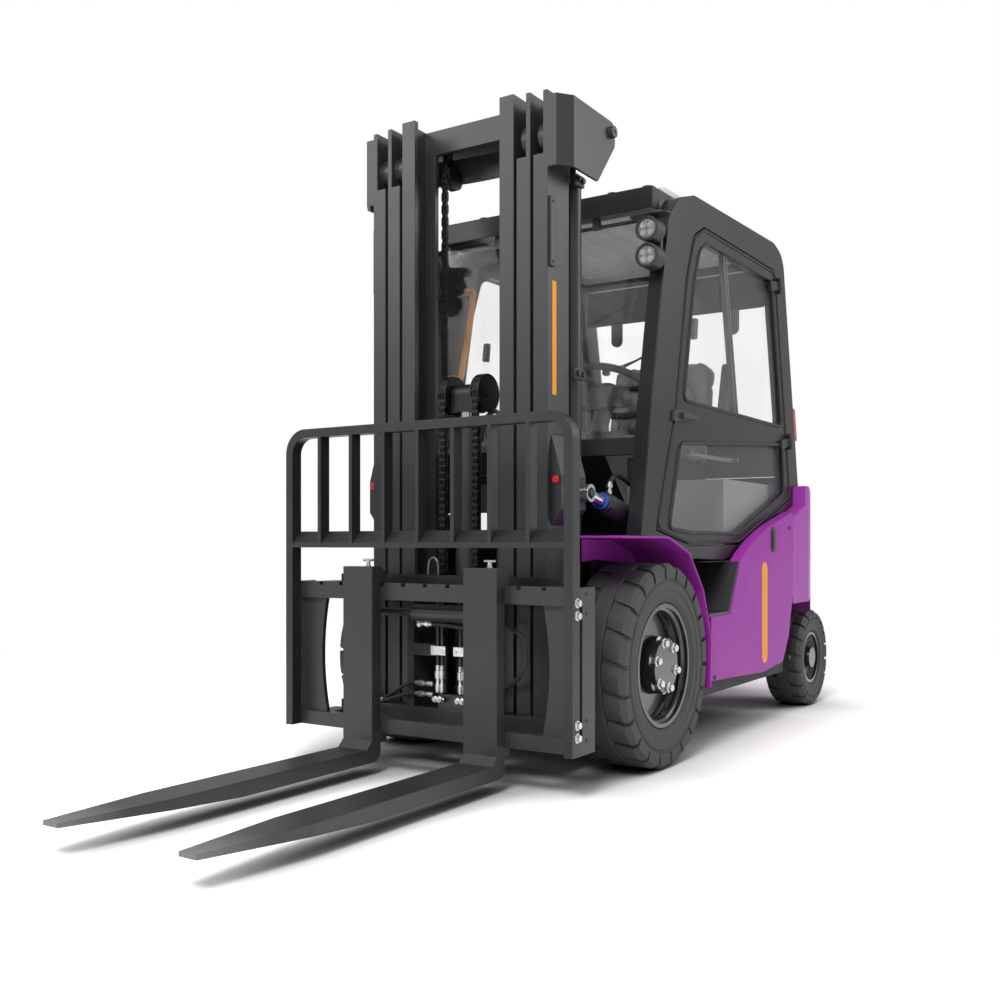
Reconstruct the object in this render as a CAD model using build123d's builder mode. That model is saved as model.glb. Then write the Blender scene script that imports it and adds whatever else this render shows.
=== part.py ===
"""Electric counterbalance forklift truck with a triplex mast and a closed cab.

Millimetres, +Z up, forks towards -Y, the driver's left towards +X.  The origin is on the floor
under the middle of the truck.  Side profiles are drawn from the front axle line, on the floor.
"""

import os
from math import cos, hypot, radians, sin, tan

from build123d import *

os.makedirs("parts", exist_ok=True)

# Overall layout
FORK_LENGTH = 1150
FACE_TO_AXLE = 640
WHEELBASE = 1740
REAR_OVERHANG = 480
OVERALL_LENGTH = FORK_LENGTH + FACE_TO_AXLE + WHEELBASE + REAR_OVERHANG
Y_AXLE = FORK_LENGTH + FACE_TO_AXLE - OVERALL_LENGTH / 2
TAIL = WHEELBASE + REAR_OVERHANG
RUNNING_GAP = 0.3
MOVING_GAP = 6

# Widths, built up from the mast: rails, then the tyres beside them, then the body inside the tyres
OUTER_RAIL_OUT = 360
FRONT_TYRE_WIDTH = 220
TYRE_CLEARANCE = 14
HALF_WIDTH = OUTER_RAIL_OUT + TYRE_CLEARANCE + FRONT_TYRE_WIDTH
BODY_INSET = 19
BODY_HALF = HALF_WIDTH - BODY_INSET
CAB_INSET = 55
CAB_HALF = BODY_HALF - CAB_INSET
CAB_WALL = 56
CAB_INNER = CAB_HALF - CAB_WALL

# Front wheels, solid tyres on bolted disc rims
FRONT_TYRE_RADIUS = 353
FRONT_RIM_RADIUS = 212
FRONT_SPINDLE_RADIUS = 58

# Rear wheels, on steered knuckles
REAR_TYRE_RADIUS = 227
REAR_TYRE_WIDTH = 170
REAR_RIM_RADIUS = 122
REAR_SPINDLE_RADIUS = 32
REAR_WHEEL_OUT = BODY_HALF - 7
KING_PIN_X = REAR_WHEEL_OUT - 218
KING_PIN_RADIUS = 22

# Both tyres: lugs, and the grooves between them, as shares of the tyre's wall and width
FRONT_LUGS = 20
REAR_LUGS = 14
LUG_GROOVE = 11
GROOVE_REACH = 0.36
GROOVE_DEPTH = 1.15
TREAD_CROWN = 0.17
SHOULDER_DROP = 0.36
RIM_WALL = 14

# Mast: three nested pairs of channel rails, open side inwards, front flanges in one plane
MAST_FRONT = -419
RAIL_DEPTH = 140
RAIL_WEB = 16
RAIL_FLANGE = 20
RAIL_GAP = 12
RAIL_BOTTOM = 110
OUTER_RAIL_WIDTH = 53
MIDDLE_RAIL_WIDTH = 52
INNER_RAIL_WIDTH = 55
OUTER_RAIL_TOP = 2233
MIDDLE_RAIL_TOP = 2237
INNER_RAIL_TOP = 2246
NOTCH_BOTTOM = 2031
ROLLER_RADIUS = RAIL_DEPTH / 2 - RAIL_FLANGE - RUNNING_GAP
ROLLER_SIDE_GAP = 4
CROSS_PLATE = 20
TILT_PIVOT_Y = -130
TILT_PIVOT_Z = 300
TILT_PIN_RADIUS = 28
LIFT_BARREL_RADIUS = 34
LIFT_ROD_RADIUS = 22
LIFT_BARREL_TOP = 1990
LIFT_CYLINDER_X = OUTER_RAIL_OUT - 42
LIFT_CYLINDER_Y = -186

# Free lift: one cylinder in the middle with a chain crosshead
FREE_BARREL_RADIUS = 44
FREE_ROD_RADIUS = 30
FREE_BARREL_TOP = 1190
FREE_CYLINDER_Y = -345
SHEAVE_RADIUS = 50
SHEAVE_X = 68
SHEAVE_WIDTH = 34
SHEAVE_Z = 1285
CHAIN_THICKNESS = 14
CHAIN_WIDTH = 26

# Carriage with side shift, load guard and forks
FORK_WIDTH = 125
FORK_TIP_WIDTH = 59
FORK_THICKNESS = 45
FORK_TIP_THICKNESS = 12
FORK_BLADE_TOP = 89
FORK_TOP = 695
FORK_X = 247
CARRIAGE_HALF = 470
FORK_BAR_DEPTH = 32
TOP_BAR_TOP = 664
LOW_BAR_BOTTOM = 138
GUARD_HALF = BODY_HALF
GUARD_TOP = 1168
GUARD_BAR_STEP = 140
GUARD_BARS = 7
GUARD_BAR = 14
GUARD_DEPTH = 44
GUARD_SHELF = 765

# Tilt cylinders
TILT_X = OUTER_RAIL_OUT + 60
TILT_EYE_Y = -262
TILT_EYE_Z = 938
TILT_ANCHOR_Y = 330
TILT_ANCHOR_Z = 798
TILT_BARREL_RADIUS = 38
TILT_ROD_RADIUS = 18

# Chassis, floor and body
CHASSIS_BOTTOM = 190
CHASSIS_PLATE = 16
FRONT_FRAME_HALF = OUTER_RAIL_OUT - 20
DECK_TOP = 1040
FENDER_TOP = 797
FENDER_SHEET = 8
FENDER_INNER = OUTER_RAIL_OUT + 24
PANEL_SHEET = 45
COWL_Y = 60
COWL_BOTTOM = 1088
COWL_TOP = 1148
BATTERY_LENGTH = 635
BATTERY_WIDTH = 2 * BODY_HALF - 250
BATTERY_HEIGHT = 540
BATTERY_FRONT = 745

# Cab
ROOF_TOP = 2117
HEADER_FRONT = 150
HEADER_DEPTH = 56
HEADER_BOTTOM = 1985
HEADER_TOP = 2064
GLASS = 6
DOOR_THICKNESS = 38
DOOR_GAP = 6
BELT = 1272

# Hubs, drive axle and steer axle
HUB_SHARE = 1.75
HUB_CAP_INSET = 8
HUB_DEPTH = 0.62
DISC_DEPTH = 0.3
AXLE_TUBE_RADIUS = 84
DRUM_IN = OUTER_RAIL_OUT + 6
DRUM_RADIUS = 150
PIVOT_LUG_IN = OUTER_RAIL_OUT - 74
PIVOT_LUG = 44
PIVOT_EYE_RADIUS = 54
AXLE_SEAT_X = FRONT_FRAME_HALF - 110
AXLE_SEAT = 110
AXLE_SEAT_TOP = 470
BEAM_HEIGHT = 110
BEAM_END = 38
BEAM_MIDDLE = 80
CRADLE_WIDTH = 150
KNUCKLE_ARM = 34
KNUCKLE_REACH = 82
KNUCKLE_WALL = 34
COUNTERWEIGHT_BOTTOM = 500

# Mast fittings
ROLLER_RISE = 20
FOOT_ROLLER_RISE = 62
HEAD_STRIP = OUTER_RAIL_OUT + 32
HEAD_OUT = OUTER_RAIL_OUT + 70
HEAD_BEND = 50
HEAD_PLATE = 10
HEAD_BOTTOM = 1985
HEAD_TOP = 2215
HEAD_TIP = -80
HEAD_CUT = -204
HEAD_TIP_HEIGHT = 78
HEAD_BOSS = 26
HEAD_BOSS_RADIUS = 20
HEAD_BOSS_INSET = 32
HEAD_BOW = 66
HEAD_ROUND = 30
HEAD_HOLE = 7
HINGE_PLATE = 26
HINGE_HEIGHT = 190
TILT_LUG_SETBACK = 24
TILT_LUG_OUT = OUTER_RAIL_OUT + 38
TILT_LUG_UP = 190
TILT_LUG_DOWN = 108
TILT_LUG_FACE = 110
TILT_EYE_RADIUS = 30
TILT_EYE_WIDTH = 32
TILT_PIN = 15
OUTER_TIES = ((130, 250), (880, 980), (2085, 2172))
MIDDLE_TIES = ((130, 220), (1010, 1090), (2184, 2232))
INNER_TIES = ((140, 220), (2160, 2246))
LIFT_FOOT = 420
LIFT_FOOT_HEIGHT = 40

# Free lift head and carriage fittings
CROSSHEAD_DROP = 62
CROSSHEAD_RADIUS = 36
SHEAVE_PIN_RADIUS = 18
SHEAVE_LIP = 16
SHEAVE_GAP = 4
CARRIAGE_PLATE = 26
CARRIAGE_BAR = 42
CARRIAGE_BARS = ((LOW_BAR_BOTTOM, 214), (600, TOP_BAR_TOP))
GUIDE_BACK = -316
CARRIAGE_ROLLER_LOW = 205
CARRIAGE_ROLLER_HIGH = 590
CHAIN_ANCHOR = 430
CHAIN_SEAT = 40
CHAIN_FRONT = FREE_CYLINDER_Y - SHEAVE_RADIUS - CHAIN_THICKNESS
FORK_BARS = ((LOW_BAR_BOTTOM, 186), (583, 640))
FORK_BAR_HALF = GUARD_HALF
SHIFT_PLATE_X = 460
SHIFT_PAD = 70
SHIFT_CYLINDER_Y = -520
SHIFT_CYLINDER_Z = 540
SHIFT_CYLINDER_RADIUS = 30
SHIFT_ROD_RADIUS = 14
SHIFT_ROD_END = 330
SHIFT_ROD_REACH = 40
SHIFT_BARREL_LOW = -94
SHIFT_BARREL_HIGH = 160
SHIFT_LUG = 40
BAR_NOTCH = 16
BAR_NOTCH_DEPTH = 12
BAR_NOTCH_STEP = 90
BAR_NOTCHES = 11
END_ANGLE = 12
END_ANGLE_DEPTH = 64

# Main lift chains, load guard, forks and tilt strokes
LIFT_CHAIN_X = 140
LIFT_SHEAVE_RADIUS = 42
LIFT_SHEAVE_Z = 2085
GUARD_CORNER = 85
GUARD_UPRIGHT = 30
FORK_HOOK = 32
FORK_HEEL = 26
FORK_TAPER = 330
TILT_ROD_LENGTH = 420
TILT_STROKE = 70
TILT_SEAL = 123
PIN_GAP = 4

# Chassis, floor and body outlines, drawn from the front axle
BODY_SPLIT = 1400
TRAY_FRONT = 412
TRAY_TOP = 700
NECK_FRONT = -70
NECK_DROP = 110
FLOOR_BOTTOM = 752
FLOOR_SHEET = 14
COWL_DEPTH = 40
TOE_HALF = FRONT_FRAME_HALF - 22
DECK_FRONT = 850
DECK_HALF = CAB_INNER - 4
DECK_SHEET = 18
DECK_OUTLINE = (
    (DECK_FRONT, FLOOR_BOTTOM),
    (DECK_FRONT, DECK_TOP),
    (BODY_SPLIT, DECK_TOP),
    (BODY_SPLIT, FLOOR_BOTTOM),
)
FENDER_BEND = 60
FENDER_LINE = ((-360, FENDER_TOP), (0, FENDER_TOP), (185, 741), (315, 601), (392, 412), (384, 236))
STEP_TOP = 495
STEP_REAR = 628
STEP_REAR_TOP = 734
STEP_GAP = 3
STEP_SHEET = 12
PANEL_LINE = (
    (BODY_SPLIT, 914),
    (BODY_SPLIT, 540),
    (1345, 360),
    (1262, 250),
    (1005, 230),
    (432, 252),
    (432, STEP_TOP),
    (STEP_REAR, STEP_TOP),
    (STEP_REAR_TOP, TRAY_TOP),
)
PANEL_TOP_ARC = ((908, 786), (1158, 861))
TAIL_BOTTOM = 320
WEIGHT_PROFILE = (
    (BODY_SPLIT, DECK_TOP),
    (TAIL - 130, DECK_TOP),
    (TAIL, 900),
    (TAIL, TAIL_BOTTOM),
    (TAIL - 120, TAIL_BOTTOM),
    (TAIL - 140, COUNTERWEIGHT_BOTTOM),
    (BODY_SPLIT, COUNTERWEIGHT_BOTTOM),
)
WEIGHT_PLAN = (
    (BODY_HALF, BODY_SPLIT),
    (BODY_HALF, 1640),
    (BODY_HALF - 145, TAIL - 80),
    (BODY_HALF - 255, TAIL),
)
WEIGHT_ROUND = 60
TOW_SLOT_WIDTH = 90
TOW_SLOT_DEPTH = 100
TOW_SLOT_BOTTOM = 420
TOW_SLOT_TOP = 480
TOW_PIN_RADIUS = 17.5
TOW_PIN_REACH = 40
WEIGHT_DOOR_CUT = ((1390, 884), (1580, 950), (1580, 1050), (1390, 1050))

# Cab outlines and fittings, drawn from the front axle
REAR_PILLAR_TOP = (1440, 2040)
REAR_PILLAR_FOOT = (1650, DECK_TOP)
CAB_OUTLINE = (
    (-62, FENDER_TOP),
    (26, 1271),
    (101, 1633),
    (170, 1950),
    (260, 2040),
    (400, 2085),
    (1307, ROOF_TOP),
    (1400, 2090),
    REAR_PILLAR_TOP,
    REAR_PILLAR_FOOT,
    (1572, DECK_TOP),
    (1560, 962),
    (1158, 818),
    (908, 738),
    (700, 706),
    (332, 716),
    (185, 748),
    (60, FENDER_TOP),
)
DOOR_REAR_TOP = (1330, 1960)
DOOR_REAR_FOOT = (1532, 985)
DOOR_OUTLINE = (
    (66, 822),
    (231, 1265),
    (330, 1760),
    (400, 1930),
    (500, 1984),
    (1300, 1990),
    DOOR_REAR_TOP,
    DOOR_REAR_FOOT,
    (870, 772),
    (359, 770),
)
DOOR_CORNER = 50
PANE_CORNER = 36
CAB_CORNER = 100
UPPER_PANE = ((300, BELT + 30), (392, 1740), (450, 1890), (530, 1934), (1270, 1940), (1404, BELT + 30))
LOWER_PANE = ((168, 826), (375, 812), (860, 812), (1440, 1000), (1410, BELT - 50), (268, 1140))
HINGE_LEVELS = (1930, 1240)
HINGE_LENGTH = 110
HINGE_TAIL = 34
HINGE_LEAF = 14
HINGE_KNUCKLE = 11
HINGE_KNUCKLE_LENGTH = 40
HINGE_KNUCKLE_END = 14
HINGE_KNUCKLE_GAP = 1
HINGE_PIN = 6
HINGE_X = CAB_HALF + HINGE_KNUCKLE + 2
REAR_TIE = 44
REAR_TIE_Y = 1392
REAR_TIE_Z = 2050
REAR_SILL_Y = 1580
ROOF_BOTTOM = 2066
ROOF_PROFILE = (
    (206, ROOF_BOTTOM),
    (206, 2072),
    (260, 2086),
    (1307, ROOF_TOP - 6),
    (1364, 2100),
    (1364, ROOF_BOTTOM),
)
ROOF_SLOT_FRONT = 300
ROOF_SLOT_REAR = 1260
ROOF_SLOT_STEP = 110
ROOF_SLOTS = 8
ROOF_SLOT = 46
ROOF_SLOT_DEPTH = 12
SEAT_FRONT = 890
SEAT_LENGTH = 440
SEAT_WIDTH = 480
SEAT_ROUND = 60
SEAT_BASE_HEIGHT = 100
SEAT_CUSHION = 110
SEAT_BACK = 370
SEAT_LEAN = 8
SEAT_STRUT = 16
SEAT_STRUT_HALF = 120
SEAT_STRUT_TOP = 270
BASE_SHARE = 0.84
COLUMN_LEAN = 28
COLUMN_LENGTH = 380
COLUMN_RADIUS = 36
WHEEL_X = 60
WHEEL_Y = 590
WHEEL_Z = 1400
WHEEL_RADIUS = 180
WHEEL_TUBE = 15
WHEEL_HUB = 40
WHEEL_SPOKE = 14
WHEEL_SPOKES = 3
DASH_HALF = 200
DASH_PROFILE = (
    (300, 1000),
    (300, 1180),
    (440, 1220),
    (480, 1160),
    (480, FLOOR_BOTTOM + FLOOR_SHEET),
    (420, FLOOR_BOTTOM + FLOOR_SHEET),
)
LAMP_LEVELS = (1785, 1880)
LAMP_X = CAB_HALF - 30
LAMP_RADIUS = 44
LAMP_BACK = 110
LAMP_DEPTH = 56
LAMP_PILLAR = 128
LAMP_BRACKET = 50
TAIL_LAMP_X = CAB_HALF - 28
TAIL_LAMP_Z = 1330
TAIL_LAMP_WIDTH = 50
TAIL_LAMP_HEIGHT = 150
TAIL_LAMP_DEPTH = 40
TAIL_LAMP_ROUND = 12
GRIP_STAND = 40
GRIP_LINE = (
    (-CAB_INNER, 216, 1450),
    (-CAB_INNER + GRIP_STAND, 216, 1450),
    (-CAB_INNER + GRIP_STAND, 308, 1824),
    (-CAB_INNER, 308, 1824),
)
GRIP_BEND = 14
GRIP_RADIUS = 13


def side_plane(x):
    """Side view plane at x: first the distance behind the front axle, then the height."""
    return Plane(origin=(x, Y_AXLE, 0), x_dir=(0, 1, 0), z_dir=(1, 0, 0))


def plan_plane(z):
    """Plan view plane at z: x, then the distance behind the front axle."""
    return Plane(origin=(0, Y_AXLE, z))


def front_plane(y):
    """Front view plane at y behind the front axle: x, then the height; it faces the forks."""
    return Plane(origin=(0, Y_AXLE + y, 0), x_dir=(1, 0, 0), z_dir=(0, -1, 0))


def wheel_plane(y, radius):
    """Plane through a wheel's axis: along the axle, then away from it."""
    return Plane(origin=(0, Y_AXLE + y, radius), x_dir=(1, 0, 0), z_dir=(0, -1, 0))


def tyre_plane(x, y, radius):
    """Plane across a wheel at x, centred on its axis."""
    return Plane(origin=(x, Y_AXLE + y, radius), x_dir=(0, 1, 0), z_dir=(1, 0, 0))


def save(part, name):
    """Label a finished piece and write it under its own name."""
    part.label = name
    export_step(part, f"parts/{name}.step")


def make_tyre(y, radius, width, out, rim_radius, lugs, side):
    """Solid tyre: a crowned band with two flats to a lug, and grooves cut in from both shoulders."""
    drop = (radius - rim_radius) * SHOULDER_DROP
    crown = width * TREAD_CROWN
    flats = 2 * lugs
    half_flat = 180 / flats
    low = out - width
    sections = ((low, radius - drop), (low + crown, radius), (out - crown, radius), (out, radius - drop))
    with BuildPart() as tyre:
        for x, reach in sections:
            with BuildSketch(tyre_plane(side * x, y, radius)):
                RegularPolygon(reach, flats, major_radius=False, rotation=half_flat)
        loft(ruled=True)
        with BuildSketch(tyre_plane(side * out, y, radius)):
            Circle(rim_radius)
        extrude(amount=-side * width, mode=Mode.SUBTRACT)
        for x, inward, turn in ((out, -side, half_flat), (low, side, -half_flat)):
            with BuildSketch(tyre_plane(side * x, y, radius)):
                with PolarLocations(radius, lugs, start_angle=turn):
                    Rectangle(2 * drop * GROOVE_DEPTH, LUG_GROOVE)
            extrude(amount=inward * width * GROOVE_REACH, mode=Mode.SUBTRACT)
    return tyre.part


def make_rim(y, radius, width, out, rim_radius, spindle_radius, side):
    """Dished steel rim with its hub; the hub's bore is blind and turns on the axle's spindle."""
    hub = spindle_radius * HUB_SHARE
    bore = spindle_radius + RUNNING_GAP
    band = rim_radius - RIM_WALL
    with BuildPart() as rim:
        with BuildSketch(wheel_plane(y, radius)):
            Polygon(
                (side * (out - HUB_CAP_INSET), 0),
                (side * (out - HUB_CAP_INSET), hub - HUB_CAP_INSET),
                (side * (out - width * DISC_DEPTH), hub),
                (side * (out - width * DISC_DEPTH), band - RIM_WALL),
                (side * (out - width * DISC_DEPTH / 2), band),
                (side * (out - RIM_WALL), band),
                (side * (out - RIM_WALL), rim_radius),
                (side * (out - width + RIM_WALL), rim_radius),
                (side * (out - width + RIM_WALL), band),
                (side * (out - width * DISC_DEPTH - RIM_WALL), band),
                (side * (out - width * DISC_DEPTH - RIM_WALL), hub),
                (side * (out - width * HUB_DEPTH), hub),
                (side * (out - width * HUB_DEPTH), bore),
                (side * (out - HUB_CAP_INSET - RIM_WALL), bore),
                (side * (out - HUB_CAP_INSET - RIM_WALL), 0),
                align=None,
            )
        revolve(axis=Axis((0, Y_AXLE + y, radius), (1, 0, 0)))
    return rim.part


SIDES = (("left", 1), ("right", -1))
for side_name, side in SIDES:
    front = (0, FRONT_TYRE_RADIUS, FRONT_TYRE_WIDTH, HALF_WIDTH, FRONT_RIM_RADIUS)
    rear = (WHEELBASE, REAR_TYRE_RADIUS, REAR_TYRE_WIDTH, REAR_WHEEL_OUT, REAR_RIM_RADIUS)
    save(make_tyre(*front, FRONT_LUGS, side), f"front_tyre_{side_name}")
    save(make_rim(*front, FRONT_SPINDLE_RADIUS, side), f"front_rim_{side_name}")
    save(make_tyre(*rear, REAR_LUGS, side), f"rear_tyre_{side_name}")
    save(make_rim(*rear, REAR_SPINDLE_RADIUS, side), f"rear_rim_{side_name}")

# Drive axle: a tube with end drums and spindles, and the two forward lugs that carry the mast
with BuildPart() as front_axle:
    with BuildSketch(Plane(origin=(0, Y_AXLE, FRONT_TYRE_RADIUS), z_dir=(1, 0, 0))):
        Circle(AXLE_TUBE_RADIUS)
    extrude(amount=DRUM_IN, both=True)
    for side_name, side in SIDES:
        hub_end = HALF_WIDTH - FRONT_TYRE_WIDTH * HUB_DEPTH
        with BuildSketch(Plane(origin=(side * DRUM_IN, Y_AXLE, FRONT_TYRE_RADIUS), z_dir=(side, 0, 0))):
            Circle(DRUM_RADIUS)
        extrude(amount=hub_end - MOVING_GAP - DRUM_IN)
        spindle_end = HALF_WIDTH - HUB_CAP_INSET - RIM_WALL - MOVING_GAP
        with BuildSketch(Plane(origin=(side * DRUM_IN, Y_AXLE, FRONT_TYRE_RADIUS), z_dir=(side, 0, 0))):
            Circle(FRONT_SPINDLE_RADIUS)
        extrude(amount=spindle_end - DRUM_IN)
        with BuildSketch(side_plane(side * PIVOT_LUG_IN)):
            with Locations((0, FRONT_TYRE_RADIUS)):
                Circle(AXLE_TUBE_RADIUS)
            with Locations((TILT_PIVOT_Y, TILT_PIVOT_Z)):
                Circle(PIVOT_EYE_RADIUS)
            make_hull()
        extrude(amount=side * PIVOT_LUG)
        with BuildSketch(side_plane(side * PIVOT_LUG_IN)):
            with Locations((TILT_PIVOT_Y, TILT_PIVOT_Z)):
                Circle(TILT_PIN_RADIUS)
        extrude(amount=side * (OUTER_RAIL_OUT - PIVOT_LUG_IN))
        with BuildSketch(plan_plane(FRONT_TYRE_RADIUS)):
            with Locations((side * AXLE_SEAT_X, 0)):
                Rectangle(AXLE_SEAT, AXLE_SEAT)
        extrude(amount=AXLE_SEAT_TOP - FRONT_TYRE_RADIUS)
save(front_axle.part, "front_axle")

# Steer axle: a beam that narrows to the king pin eyes, so that the steered tyres pass it
with BuildPart() as steer_axle:
    with BuildSketch(plan_plane(REAR_TYRE_RADIUS - BEAM_HEIGHT / 2)):
        Polygon(
            (-KING_PIN_X, WHEELBASE - BEAM_END),
            (0, WHEELBASE - BEAM_MIDDLE),
            (KING_PIN_X, WHEELBASE - BEAM_END),
            (KING_PIN_X, WHEELBASE + BEAM_END),
            (0, WHEELBASE + BEAM_MIDDLE),
            (-KING_PIN_X, WHEELBASE + BEAM_END),
            align=None,
        )
        for side_name, side in SIDES:
            with Locations((side * KING_PIN_X, WHEELBASE)):
                Circle(BEAM_END)
        for side_name, side in SIDES:
            with Locations((side * KING_PIN_X, WHEELBASE)):
                Circle(KING_PIN_RADIUS + RUNNING_GAP, mode=Mode.SUBTRACT)
    extrude(amount=BEAM_HEIGHT)
    with BuildSketch(plan_plane(REAR_TYRE_RADIUS + BEAM_HEIGHT / 2)):
        with Locations((0, WHEELBASE)):
            Rectangle(CRADLE_WIDTH, BEAM_MIDDLE * 2)
    extrude(amount=COUNTERWEIGHT_BOTTOM - REAR_TYRE_RADIUS - BEAM_HEIGHT / 2)
save(steer_axle.part, "steer_axle")

# Steering knuckles: two arms above and below the beam's eye, the king pin and the wheel spindle
for side_name, side in SIDES:
    with BuildPart() as knuckle:
        with BuildSketch(plan_plane(REAR_TYRE_RADIUS - BEAM_HEIGHT / 2 - KNUCKLE_ARM - RUNNING_GAP)):
            with Locations((side * KING_PIN_X, WHEELBASE)):
                Circle(KING_PIN_RADIUS)
        extrude(amount=BEAM_HEIGHT + 2 * KNUCKLE_ARM + 2 * RUNNING_GAP)
        for level in (-BEAM_HEIGHT / 2 - KNUCKLE_ARM - RUNNING_GAP, BEAM_HEIGHT / 2 + RUNNING_GAP):
            with BuildSketch(plan_plane(REAR_TYRE_RADIUS + level)):
                with Locations((side * KING_PIN_X, WHEELBASE)):
                    Circle(BEAM_END)
                with Locations((side * (KING_PIN_X + KNUCKLE_REACH / 2), WHEELBASE)):
                    Rectangle(KNUCKLE_REACH, 2 * BEAM_END)
            extrude(amount=KNUCKLE_ARM)
        with BuildSketch(plan_plane(REAR_TYRE_RADIUS - BEAM_HEIGHT / 2 - KNUCKLE_ARM - RUNNING_GAP)):
            with Locations((side * (KING_PIN_X + KNUCKLE_REACH - KNUCKLE_WALL / 2), WHEELBASE)):
                Rectangle(KNUCKLE_WALL, 2 * BEAM_END)
        extrude(amount=BEAM_HEIGHT + 2 * KNUCKLE_ARM + 2 * RUNNING_GAP)
        spindle_end = REAR_WHEEL_OUT - HUB_CAP_INSET - RIM_WALL - MOVING_GAP
        start = KING_PIN_X + KNUCKLE_REACH - KNUCKLE_WALL
        stub = (side * start, Y_AXLE + WHEELBASE, REAR_TYRE_RADIUS)
        with BuildSketch(Plane(origin=stub, z_dir=(side, 0, 0))):
            Circle(REAR_SPINDLE_RADIUS)
        extrude(amount=spindle_end - start)
    save(knuckle.part, f"knuckle_{side_name}")


def channel_points(out, width, side):
    """Section of one mast rail: a channel whose web is outside and whose open side faces in."""
    web = out - RAIL_WEB
    low = out - width
    back = MAST_FRONT + RAIL_DEPTH
    outline = (
        (out, MAST_FRONT),
        (low, MAST_FRONT),
        (low, MAST_FRONT + RAIL_FLANGE),
        (web, MAST_FRONT + RAIL_FLANGE),
        (web, back - RAIL_FLANGE),
        (low, back - RAIL_FLANGE),
        (low, back),
        (out, back),
    )
    return [(side * x, y) for x, y in outline]


MIDDLE_RAIL_OUT = OUTER_RAIL_OUT - OUTER_RAIL_WIDTH - RAIL_GAP
INNER_RAIL_OUT = MIDDLE_RAIL_OUT - MIDDLE_RAIL_WIDTH - RAIL_GAP
INNER_RAIL_IN = INNER_RAIL_OUT - INNER_RAIL_WIDTH
RAIL_BACK = MAST_FRONT + RAIL_DEPTH
ROLLER_Y = MAST_FRONT + RAIL_DEPTH / 2
MIDDLE_CROSS_Y = RAIL_BACK + MOVING_GAP
OUTER_CROSS_Y = MIDDLE_CROSS_Y + CROSS_PLATE + MOVING_GAP
OUTER_CROSS_BACK = OUTER_CROSS_Y + CROSS_PLATE
ROLLER_Z = NOTCH_BOTTOM + ROLLER_RADIUS + ROLLER_RISE

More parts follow.
